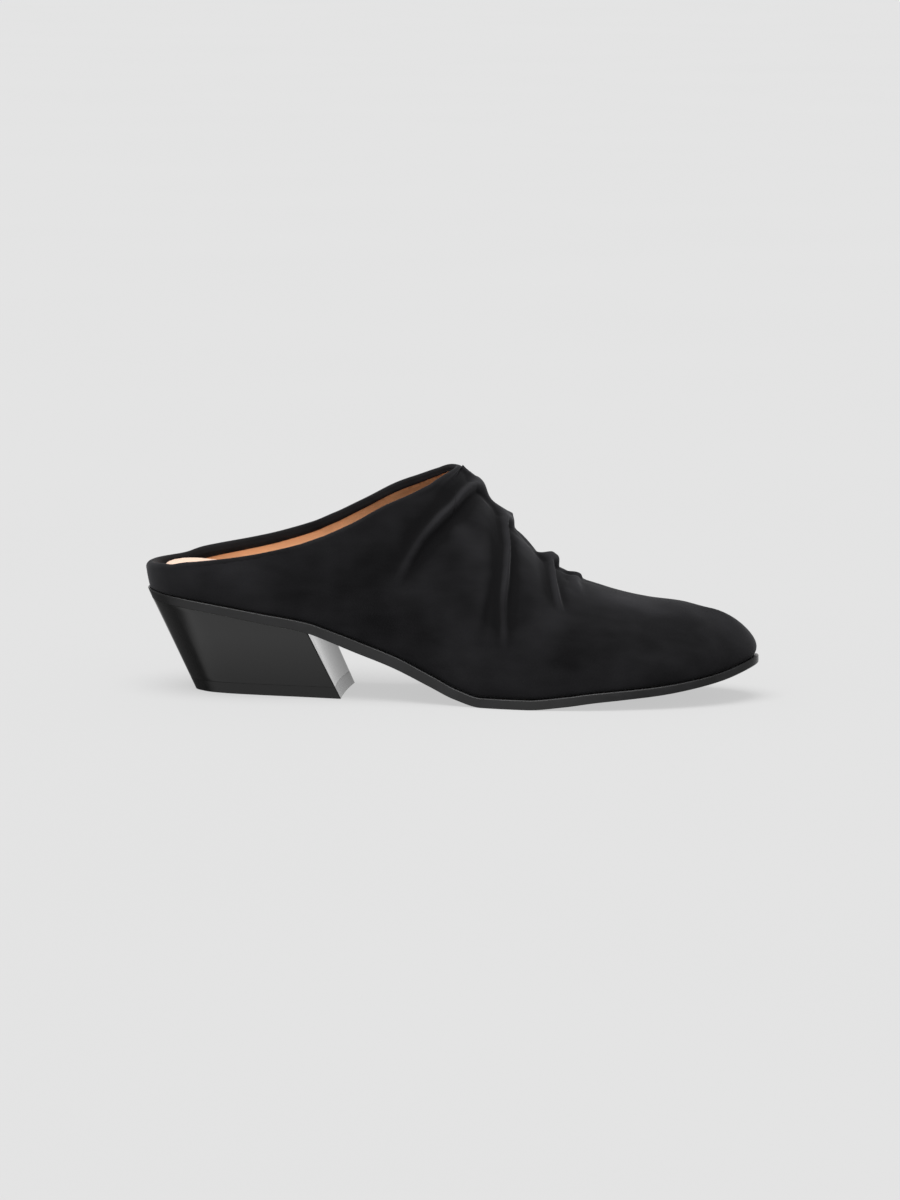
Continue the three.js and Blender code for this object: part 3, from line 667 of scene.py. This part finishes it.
def rounded(margin, floor, roof, low, high, lean=lambda x: 0 * x):
    """Rings of an edge. Its corners are rounded by low and high, and its foot leans in."""
    turns = steps(EDGE_TURNS) * np.pi / 2
    below = [ring(lambda x: margin(x) + lean(x) + low(x) * (1 - np.sin(turn)),
                  lambda x: floor(x) + low(x) * (1 - np.cos(turn))) for turn in turns]
    above = [ring(lambda x: margin(x) + high(x) * (1 - np.cos(turn)),
                  lambda x: roof(x) - high(x) * (1 - np.sin(turn))) for turn in turns]
    return below + above


print(len(slab_turns), "places round each side of a slab")

# %% [markdown]
# ## Outsole and insole
# The outsole's edge is rounded above and below, except over the heel, where it's cut flush and leans in
# to meet the heel. The insole lies inside the upper, so it is narrower by the wall and a small gap.

# %% Outsole and insole
BREAST_TOP, SEAT_FADE, SEAT_ROUNDING = 77, 14, 0.12
INSOLE_FOOT, INSOLE_ROUNDING = 0.3, 0.8


def even(size):
    return lambda x: size + 0 * x


def over_heel(x):
    """1 where the sole lies on the heel, and less past the breast."""
    return 1 - smooth(np.clip((x - BREAST_TOP) / SEAT_FADE, 0, 1))


def insole_floor(x):
    return sole_top(x) + FIT_GAP


def insole_top(x):
    return insole_floor(x) + INSOLE_THICKNESS


def insole_margin(x):
    return SOLE_MARGIN * margin_share(x / SHOE_LENGTH) + WALL + FIT_GAP


sole_rings = rounded(even(0), sole_bottom, sole_top,
                     lambda x: mix(SOLE_ROUNDING, SEAT_ROUNDING, over_heel(x)), even(SOLE_ROUNDING),
                     lambda x: HEEL_INSET * over_heel(x))
outsole = slab(sole_rings, sole_bottom, sole_top).piece("leather_outsole", "outsole", "sole", sharp=SHARP)
insole_rings = rounded(insole_margin, insole_floor, insole_top, even(INSOLE_FOOT), even(INSOLE_ROUNDING))
insole = slab(insole_rings, insole_floor, insole_top).piece("insole_board", "insole", "lining", sharp=SHARP)

# %% [markdown]
# ## Heel pad
# The pad is soft foam under pale leather, glued on the insole. Its crown is one dome: steep at the
# edge and almost level in the middle. The height at each place is worked out from the distance to the
# pad's outline. A cloth simulation could puff it up, but foam this thin keeps its cut shape.

# %% Domed heel pad
PAD_SHOULDER, PAD_TONGUE, PAD_STEPS, PAD_ACROSS, RIM_PARTS = 0.62, 0.8, 70, 44, 4
pad_rise = curve([0, 0.03, 0.07, 0.16, 0.28, 0.42, 0.56, 1], [0.46, 0.57, 0.68, 0.8, 0.89, 0.96, 1, 1])
PAD_SIDE = [(0.04, 0), (0.012, 0.08), (0, 0.18), (-0.006, 0.32), (0, 0.46)]


def pad_edge(side, s, distance):
    margin = float(feather_margin(np.array(0.0))) + COLLAR_ROLL + PAD_CLEARANCE
    shoulder = float(turn_at((margin + PAD_SHOULDER * PAD_LENGTH) / SHOE_LENGTH))
    back = inset(side, shoulder * np.minimum(s, PAD_SHOULDER) / PAD_SHOULDER, margin + distance + 0 * s)
    start = inset(side, np.array(shoulder), margin + distance)
    angle = np.clip((s - PAD_SHOULDER) / (1 - PAD_SHOULDER), 0, 1) * np.pi / 2
    x = mix(start[0], margin + PAD_LENGTH - distance, np.sin(angle))
    y = start[1] * np.maximum(np.cos(angle), 0) ** PAD_TONGUE
    tongue = np.stack([x, np.where(s >= 1, 0, y)], -1)
    return np.where((s <= PAD_SHOULDER)[:, None], back, tongue)


def pad_base(x):
    return insole_top(x) + FIT_GAP


pad_turns = np.sort(np.append((1 - np.cos(np.pi * steps(PAD_STEPS))) / 2, PAD_SHOULDER))
pad_half = float(pad_edge(INNER, np.array([PAD_SHOULDER]), 0)[0, 1])
pad_rim = {side: pad_edge(side, pad_turns, 0) for side in SIDES}
pad_skin = Skin()
for side in SIDES:
    wall = []
    for inward, up in PAD_SIDE:
        edge = pad_edge(side, pad_turns, pad_half * inward)
        wall.append(raised(edge, lambda x, up=up: pad_base(x) + PAD_THICKNESS * up))
    pad_skin.sheet(np.stack(wall, 1))
spread = ((1 - np.cos(np.pi * steps(PAD_ACROSS))) / 2)[None, :, None]
plan = mix(pad_rim[OUTER][:, None], pad_rim[INNER][:, None], spread)
rim = np.concatenate([pad_rim[OUTER], pad_rim[INNER][::-1]])
finer = np.concatenate([mix(rim, np.roll(rim, -1, 0), share) for share in steps(RIM_PARTS)[:-1]])
away = np.linalg.norm(plan[:, :, None] - finer, axis=-1).min(-1)
away[:, [0, -1]] = 0
away[[0, -1]] = 0
crown = raised(plan, pad_base)
crown[..., 2] += PAD_THICKNESS * pad_rise(away / pad_half)
foot_inward = pad_half * PAD_SIDE[0][0]
under = mix(*(pad_edge(side, pad_turns, foot_inward)[:, None] for side in SIDES), spread)
pad = pad_skin.sheet(crown).sheet(raised(under, pad_base)).piece("heel_pad_soft", "heel_pad", "pad")

# %% [markdown]
# ## Heel's lines
# The heel is ruled: straight lines run from the sole's outline down to a smaller foot that stands
# further forward, so its flanks are flat from top to bottom and round at the back. The breast, its
# front face, is hollow. Lines are enough to draw it, and they keep the flanks as flat as the real ones,
# which a loft through curved sections wouldn't.

# %% Lines of the heel
HEEL_FOOT_AT = [0, 0.05, 0.12, 0.25, 0.5, 0.75, 1]
HEEL_JOINT, FOOT_HOLLOW = 0.05, 0.25
foot_share = curve(np.sqrt(HEEL_FOOT_AT), [0, 0.285, 0.46, 0.61, 0.755, 0.87, 1])
SLANT = HEEL_SLANT / HEEL_RISE


def heel_top_point(side, t):
    return raised(inset(side, np.asarray(t, float), HEEL_INSET), lambda x: sole_bottom(x) - FIT_GAP)


def foot_x(point):
    return point[..., 0] + SLANT * point[..., 2]


heel_back = float(foot_x(heel_top_point(OUTER, 0.0)))


def breast_turn(side):
    low, high = 0.0, 0.5
    for _ in range(HALVINGS):
        middle = (low + high) / 2
        if foot_x(heel_top_point(side, middle)) < heel_back + HEEL_FOOT_LENGTH:
            low = middle
        else:
            high = middle
    return low


def flank_rays(side, s):
    """Tops and feet of the flank's lines, from the back to the breast."""
    turn = s * breast_turn(side)
    top = raised(inset(side, turn, HEEL_INSET), lambda x: sole_bottom(x) - HEEL_JOINT)
    x = foot_x(heel_top_point(side, turn))
    share = np.clip((x - heel_back) / HEEL_FOOT_LENGTH, 0, 1)
    half = HEEL_FOOT_WIDTH / 2 * foot_share(np.sqrt(share))
    return top, np.stack([x, side * half, 0 * x], -1)


def breast_rays(s):
    (outer_top, outer_foot), (inner_top, inner_foot) = (flank_rays(side, np.ones(1)) for side in SIDES)
    hollow = BREAST_HOLLOW * 4 * s * (1 - s)
    top, foot = mix(outer_top, inner_top, s[:, None]), mix(outer_foot, inner_foot, s[:, None])
    top[:, 0] -= hollow
    foot[:, 0] -= FOOT_HOLLOW * hollow
    top[:, 2] = sole_bottom(top[:, 0]) - HEEL_JOINT
    return top, foot


print("heel, mm:", round(heel_back, 1), "to", round(heel_back + HEEL_FOOT_LENGTH, 1), "on the floor")

# %% [markdown]
# ## Once round the heel
# The lines of the two flanks and of the breast are joined into one round. A gloss finish shows every
# facet, so there are many lines, and they stand closer at the back, where the flank turns most. The two
# long edges of the breast are rounded a little, because lacquer never lies on a sharp edge.

# %% Round of lines
HEEL_STEPS, LINES_EASE, BREAST_STEPS, CORNER_STEPS, CORNER = 110, 1.6, 36, 6, 0.012


def corner_rays(before, corner, after):
    """Rounds the corner between the last line of one face and the first of the next."""
    s = steps(CORNER_STEPS)[1:-1, None]
    bend = [mix(mix(a, b, s), mix(b, c, s), s) for a, b, c in zip(before, corner, after)]
    return bend[0], bend[1]


lines = steps(HEEL_STEPS) ** LINES_EASE * (1 - CORNER)
across_breast = mix(CORNER, 1 - CORNER, steps(BREAST_STEPS))
outer_flank, inner_flank = flank_rays(OUTER, lines), flank_rays(INNER, lines)
breast = breast_rays(across_breast)
outer_corner = corner_rays([part[-1:] for part in outer_flank],
                           flank_rays(OUTER, np.ones(1)), [part[:1] for part in breast])
inner_corner = corner_rays([part[-1:] for part in breast],
                           flank_rays(INNER, np.ones(1)), [part[-1:] for part in inner_flank])
ray_top, ray_foot = (
    np.concatenate([outer_flank[i], outer_corner[i], breast[i], inner_corner[i], inner_flank[i][:0:-1]])
    for i in (0, 1)
)
print(len(ray_top), "lines once round the heel")

# %% [markdown]
# ## Heel and top lift as blocks
# Both pieces are cut from the same lines at their own heights, so the lift goes on in the heel's planes.
# A cap could be one big face, but such a face shades badly where its outline is hollow, so it is a
# sheet that runs from flank to flank.

# %% Heel and top lift
RIM_STEPS, RIM, HEEL_ROWS, CAP_NEAR = 4, 0.08, 20, 3


def cap(loop):
    """A sheet inside a loop of the heel: across from flank to flank, bent back to meet the breast."""
    flank = HEEL_STEPS + 1
    outer, inner = loop[:flank], np.concatenate([loop[:1], loop[:-flank:-1]])
    front = loop[flank - 1 : len(loop) - flank + 2]
    share = (front[:, 1] - front[0, 1]) / (front[-1, 1] - front[0, 1])
    straight = mix(front[:1], front[-1:], share[:, None])
    sheet = mix(outer[:, None], inner[:, None], share[None, :, None])
    nearness = steps(HEEL_STEPS)[:, None, None] ** CAP_NEAR
    return sheet + (front - straight) * nearness


def heel_block(name, node, slot, low, high):
    """A block between two heights of the heel's lines, with rounded rims."""
    turns = steps(RIM_STEPS)[:-1] * np.pi / 2
    rims = [(RIM * (1 - math.sin(a)), RIM * (1 - math.cos(a))) for a in turns]
    roof = ray_top[:, 2] if high is None else np.full(len(ray_top), high)
    floor = np.full(len(ray_top), low)
    levels = [(floor + up, back) for back, up in rims]
    levels += [(mix(floor + RIM, roof - RIM, share), 0.0) for share in steps(HEEL_ROWS)]
    levels += [(roof - up, back) for back, up in reversed(rims)]
    loops = []
    for z, back in levels:
        loop = mix(ray_foot, ray_top, (z / ray_top[:, 2])[:, None])
        loop[:, 2] = z
        run = unit(np.roll(loop, -1, 0)[:, :2] - np.roll(loop, 1, 0)[:, :2])
        loop[:, :2] += np.stack([-run[:, 1], run[:, 0]], -1) * back
        loops.append(loop)
    grid = np.stack(loops, 1)
    skin = Skin().sheet(np.concatenate([grid, grid[:1]]))
    return skin.sheet(cap(loops[0])).sheet(cap(loops[-1])).piece(name, node, slot, sharp=SHARP)


heel = heel_block("gloss_heel", "heel", "heel_cover", LIFT_THICKNESS + HEEL_JOINT, None)
lift = heel_block("rubber_top_lift", "top_lift", "lift", 0.0, LIFT_THICKNESS)

# %% [markdown]
# ## Writing shaders as sums
# A finish is built from patterns that are added, scaled and mixed. Wiring each Math node by hand hides
# the sum behind its wires. So a socket is wrapped in a small class, and the sum is written as one.

# %% Finish: a material whose maths reads as maths


class Flow:
    """A number that varies from place to place: the output of a node."""

    def __init__(self, graph, socket):
        self.graph, self.socket = graph, socket

    def math(self, operation, first, second):
        return self.graph.node("ShaderNodeMath", {"operation": operation}, {0: first, 1: second})

    def __add__(self, other):
        return self.math("ADD", self, other)

    def __sub__(self, other):
        return self.math("SUBTRACT", self, other)

    def __rsub__(self, other):
        return self.math("SUBTRACT", other, self)

    def __mul__(self, other):
        return self.math("MULTIPLY", self, other)

    __radd__, __rmul__ = __add__, __mul__


class Graph:
    """A tree of nodes, whose inputs are given as plain values or as flows."""

    def __init__(self, tree):
        self.tree = tree

    def node(self, kind, settings=None, inputs=None, output=0):
        made = self.tree.nodes.new(kind)
        for label, value in (settings or {}).items():
            setattr(made, label, value)
        for label, value in (inputs or {}).items():
            self.feed(made.inputs[label], value)
        return Flow(self, made.outputs[output])

    def feed(self, socket, value):
        if isinstance(value, Flow):
            self.tree.links.new(value.socket, socket)
        else:
            socket.default_value = value


class Finish(Graph):
    """A material with one Principled shader."""

    def __init__(self, name, **constants):
        self.material = bpy.data.materials.new(name)
        self.material.use_nodes = True
        super().__init__(self.material.node_tree)
        self.shader = self.tree.nodes["Principled BSDF"]
        for label, value in constants.items():
            self.shader.inputs[label.replace("_", " ").title().replace("Ior", "IOR")].default_value = value

    def place(self, stretch=(1, 1, 1)):
        at = self.node("ShaderNodeTexCoord", output="Object")
        return self.node("ShaderNodeVectorMath", {"operation": "MULTIPLY"}, {0: at, 1: stretch})

    def noise(self, size, stretch=(1, 1, 1), detail=3, rough=0.5):
        """Noise whose features are about size millimetres across."""
        values = {"Vector": self.place(stretch), "Scale": 1 / (size * MILLIMETRE), "Detail": detail,
                  "Roughness": rough}
        return self.node("ShaderNodeTexNoise", inputs=values, output="Fac")

    def ramp(self, flow, low, high):
        """0 up to the low value, 1 from the high value, and a straight slope between them."""
        ramp = self.node("ShaderNodeValToRGB", inputs={"Fac": flow})
        for stop, position in zip(ramp.socket.node.color_ramp.elements, (low, high)):
            stop.position = position
        return ramp

    def blend(self, share, first, second):
        """A colour between two colours."""
        sockets = {0: share, 6: first, 7: second}
        return self.node("ShaderNodeMix", {"data_type": "RGBA"}, sockets, output=2)

    def bump(self, height, distance, strength):
        values = {"Height": height, "Distance": distance * MILLIMETRE, "Strength": strength}
        return self.node("ShaderNodeBump", inputs=values)

    def dress(self, piece, **flows):
        for label, flow in flows.items():
            self.feed(self.shader.inputs[label.replace("_", " ").title()], flow)
        piece.data.materials.clear()
        piece.data.materials.append(self.material)
        print(self.material.name, "on", piece.name)


print("a finish can", [name for name in vars(Finish) if name.isalpha()])

# %% [markdown]
# ## Suede
# Suede is the flesh side of leather, brushed to a short nap. It has no gloss: it goes lighter where the
# nap lies one way and darker where it lies the other, in soft patches a finger wide, and it has a faint
# bloom at grazing angles. A sheen layer gives the bloom, three sizes of noise give patches, strokes and
# fibres, and painted light and shade on the skin makes the crests lighter and the troughs darker.

# %% Suede finish
SUEDE_DARK, SUEDE_LIT = (0.0036, 0.0035, 0.004, 1), (0.0205, 0.0202, 0.0222, 1)
suede_finish = Finish("black_suede", sheen_weight=0.2, sheen_roughness=0.45,
                      sheen_tint=(0.55, 0.55, 0.58, 1), specular_ior_level=0.12)
patches = suede_finish.ramp(suede_finish.noise(26, detail=2), 0.36, 0.68)
strokes = suede_finish.noise(5, stretch=(0.35, 1, 1), detail=3)
fibres = suede_finish.noise(0.45, detail=2, rough=0.7)
# Painted light and shade from the skin: lighter on crests, swells and lit patches, darker in troughs, added
# to the nap's own tone.
painted_light_shade = suede_finish.node("ShaderNodeAttribute", {"attribute_name": "painted_light"}, output="Fac")
nap_and_painted_light = patches * 0.45 + strokes * 0.4 + fibres * 0.3 + painted_light_shade * 0.7 - 0.21
suede_finish.dress(
    upper,
    base_color=suede_finish.blend(nap_and_painted_light, SUEDE_DARK, SUEDE_LIT),
    roughness=0.82 + fibres * 0.16,
    normal=suede_finish.bump(fibres * 0.7 + strokes * 0.3, 0.16, 0.55),
)

# %% [markdown]
# ## Smooth leathers
# The lining, the insole's cover and the pad are smooth leather with a fine pebble of pores. A Voronoi
# pattern gives the pores, and noise gives the cloudy colour of a dyed hide. The painted light and shade
# that came with the lining's sheets makes it paler over the heel and deeper towards the throat.

# %% Lining, insole and pad finishes


def leather(name, deep, light, pore, cloud, roughness, **constants):
    """Smooth dyed leather, and its pores for a bump."""
    made = Finish(name, **constants)
    clouds = made.ramp(made.noise(cloud, detail=4), 0.3, 0.7)
    scale = 1 / (pore * MILLIMETRE)
    pores = made.node("ShaderNodeTexVoronoi", inputs={"Vector": made.place(), "Scale": scale})
    grain = made.noise(pore * 3, detail=2)
    # Painted light and shade from the sheets. Only the lining has it, and it is zero on the insole and pad.
    painted_lining_light = made.node("ShaderNodeAttribute", {"attribute_name": "painted_light"}, output="Fac")
    base = made.blend(clouds * 0.4 + pores * 0.2 + painted_lining_light + 0.2, deep, light)
    bump = made.bump(pores * 0.6 + grain * 0.6, 0.08, 0.5)
    return made, base, roughness + grain * 0.12 - clouds * 0.05, bump


# The lining's pale colour is reached where its painted light is strongest, over the heel.
for name, piece, deep, light, pore, cloud, rough in (
    ("tan_lining_leather", lining, (0.46, 0.245, 0.125, 1), (0.95, 0.57, 0.32, 1), 0.6, 12, 0.45),
    ("tan_insole_leather", insole, (0.58, 0.3, 0.145, 1), (0.72, 0.41, 0.21, 1), 0.7, 18, 0.48),
    ("pale_pad_leather", pad, (0.9, 0.62, 0.47, 1), (0.97, 0.73, 0.58, 1), 0.8, 14, 0.5),
):
    made, base, roughness, normal = leather(name, deep, light, pore, cloud, rough, specular_ior_level=0.35)
    made.dress(piece, base_color=base, roughness=roughness, normal=normal)

# %% [markdown]
# ## Sole, heel and lift
# The sole's cut edge is inked and waxed, so it is a satin grey-black with fine lines along it and light
# scuffs. The heel is lacquered: a hard clear coat over black, with only a trace of waviness, that loses
# its shine towards the ground. The lift is satin rubber with a fine tooth.

# %% Sole, heel and lift finishes


def grey(level):
    return (level, level, level, 1)


sole_finish = Finish("inked_sole", specular_ior_level=0.4)
layers = sole_finish.noise(0.8, stretch=(0.05, 0.05, 1), detail=2)
wear = sole_finish.ramp(sole_finish.noise(9, detail=4), 0.45, 0.75)
sole_finish.dress(
    outsole,
    base_color=sole_finish.blend(wear * 0.6 + layers * 0.4, grey(0.011), (0.022, 0.022, 0.024, 1)),
    roughness=0.26 + wear * 0.16 + layers * 0.08,
    normal=sole_finish.bump(layers * 0.6 + wear * 0.3, 0.08, 0.5),
)
heel_finish = Finish("black_lacquer", specular_ior_level=0.2, coat_roughness=0.08, coat_ior=1.5)
height = heel_finish.node("ShaderNodeSeparateXYZ", inputs={"Vector": heel_finish.place()}, output="Z")
shine = heel_finish.ramp(height, 0.004, 0.026)
wave = heel_finish.noise(22, detail=1)
dust = heel_finish.ramp(heel_finish.noise(2.5, detail=4), 0.5, 0.9)
heel_finish.dress(
    heel,
    base_color=heel_finish.blend(dust, grey(0.007), grey(0.011)),
    roughness=0.12 + dust * 0.1,
    coat_weight=0.35 + shine * 0.55 - dust * 0.1,
    normal=heel_finish.bump(wave, 0.1, 0.35),
)
lift_finish = Finish("black_rubber", specular_ior_level=0.36)
tooth = lift_finish.noise(0.5, detail=3)
lift_finish.dress(
    lift,
    base_color=lift_finish.blend(tooth, grey(0.006), grey(0.01)),
    roughness=0.16 + tooth * 0.1,
    normal=lift_finish.bump(tooth, 0.06, 0.5),
)

# %% [markdown]
# ## Floor
# The shoe stands on a seamless pale sweep. A pale plane alone would throw dark shadows, so this one
# glows a little, as a lit table does. It stays out of the reflections, or it would hide the low cards
# that come next.

# %% Floor
FLOOR_HALF = 40
floor_mesh = bpy.data.meshes.new("floor")
corners = [(x * FLOOR_HALF, y * FLOOR_HALF, 0) for x, y in ((-1, -1), (1, -1), (1, 1), (-1, 1))]
floor_mesh.from_pydata(corners, [], [(0, 1, 2, 3)])
floor = bpy.data.objects.new("floor", floor_mesh)
scene.collection.objects.link(floor)
floor.visible_glossy = False
floor_finish = Finish("pale_sweep", specular_ior_level=0.0, emission_strength=1.0)
paper = floor_finish.noise(300, detail=1)
floor_finish.dress(
    floor,
    base_color=floor_finish.blend(paper, grey(0.19), grey(0.195)),
    emission_color=floor_finish.blend(paper, grey(0.53), grey(0.535)),
    roughness=0.7 + paper * 0.1,
)

# %% [markdown]
# ## Light
# One broad soft light does the modelling. A wide sun is the same all over the floor, which an area lamp
# isn't. Gloss shows its surroundings, so they are laid out as a product photographer lays out cards: a
# bright backdrop, a soft front light, a pale card low in front and a black one behind the heel. They
# could be planes, but as directions in the world they can't throw shadows or get into the picture.

# %% Light
AMBIENT, SEEN = 0.27, 0.766
SKY = [  # direction, inner and outer angle of the cone, strength
    ((0.15, 1, -0.02), 15, 40, 0.66),  # bright backdrop
    ((0, -0.8, 0.6), 20, 60, 0.45),  # soft front light
    ((-0.3, -0.7, -0.6), 32, 46, 0.42),  # pale card low in front, for the flank's gloss
    ((-0.76, 0.4, -0.5), 22, 40, -0.18),  # black card, for the heel's back
]
world = bpy.data.worlds.new("studio")
scene.world = world
world.use_nodes = True
sky = Graph(world.node_tree)
gaze = sky.node("ShaderNodeTexCoord")


def sky_patch(direction, inner, outer, strength):
    """Light that grows to its strength within a cone round one direction."""
    both = {0: gaze, 1: Vector(direction).normalized()}
    dot = sky.node("ShaderNodeVectorMath", {"operation": "DOT_PRODUCT"}, both, output=1)
    start, full = (math.cos(math.radians(angle)) for angle in (outer, inner))
    limits = {"Value": dot, "From Min": start, "From Max": full, "To Min": 0.0, "To Max": strength}
    return sky.node("ShaderNodeMapRange", {"interpolation_type": "SMOOTHSTEP"}, limits)


patches_lit = sum((sky_patch(*patch) for patch in SKY), AMBIENT)
never_dark = patches_lit.math("MAXIMUM", patches_lit, 0.0)
direct = sky.node("ShaderNodeLightPath")
strength = sky.node("ShaderNodeMix", inputs={0: direct, 2: never_dark, 3: SEEN})
background = sky.tree.nodes["Background"]
background.inputs["Color"].default_value = (1, 1, 1, 1)
sky.feed(background.inputs["Strength"], strength)
scene.view_settings.view_transform = "Standard"
SUN_STRENGTH, SUN_ANGLE, SUN_TOWARD = 2.7, 50, (0.1, 0.2, -1)
lamp = bpy.data.lights.new("broad_light", "SUN")
lamp.energy, lamp.angle = SUN_STRENGTH, math.radians(SUN_ANGLE)
broad_light = bpy.data.objects.new("broad_light", lamp)
scene.collection.objects.link(broad_light)
broad_light.rotation_euler = Vector(SUN_TOWARD).to_track_quat("-Z", "Y").to_euler()
print("sun of", SUN_STRENGTH, "over", SUN_ANGLE, "degrees, and", len(SKY), "patches of sky")

# %% [markdown]
# ## Camera
# The camera is far off with a long lens, a little above the shoe and a little towards its toe. Its lens
# follows from the scale of the picture, so that a millimetre has the same size as in the photo.

# %% Camera
AZIMUTH, ELEVATION, DISTANCE = math.radians(7), math.radians(8.5), 2.2
PIXELS_PER_MM, IMAGE_HEIGHT, SENSOR = 2.342, 1200, 24
TARGET = (np.array([130.35, 0, 40.15]) + SHIFT) * MILLIMETRE
toward = np.array([
    math.sin(AZIMUTH) * math.cos(ELEVATION),
    -math.cos(AZIMUTH) * math.cos(ELEVATION),
    math.sin(ELEVATION),
])
lens = bpy.data.cameras.new("camera")
camera = bpy.data.objects.new("camera", lens)
scene.collection.objects.link(camera)
camera.location = TARGET + toward * DISTANCE
camera.rotation_euler = (math.pi / 2 - ELEVATION, 0, AZIMUTH)
lens.sensor_fit, lens.sensor_height = "VERTICAL", SENSOR
lens.lens = SENSOR * DISTANCE / (IMAGE_HEIGHT / PIXELS_PER_MM * MILLIMETRE)
lens.clip_end = 200
scene.camera = camera
print("lens", round(lens.lens, 1), "mm at", DISTANCE, "m")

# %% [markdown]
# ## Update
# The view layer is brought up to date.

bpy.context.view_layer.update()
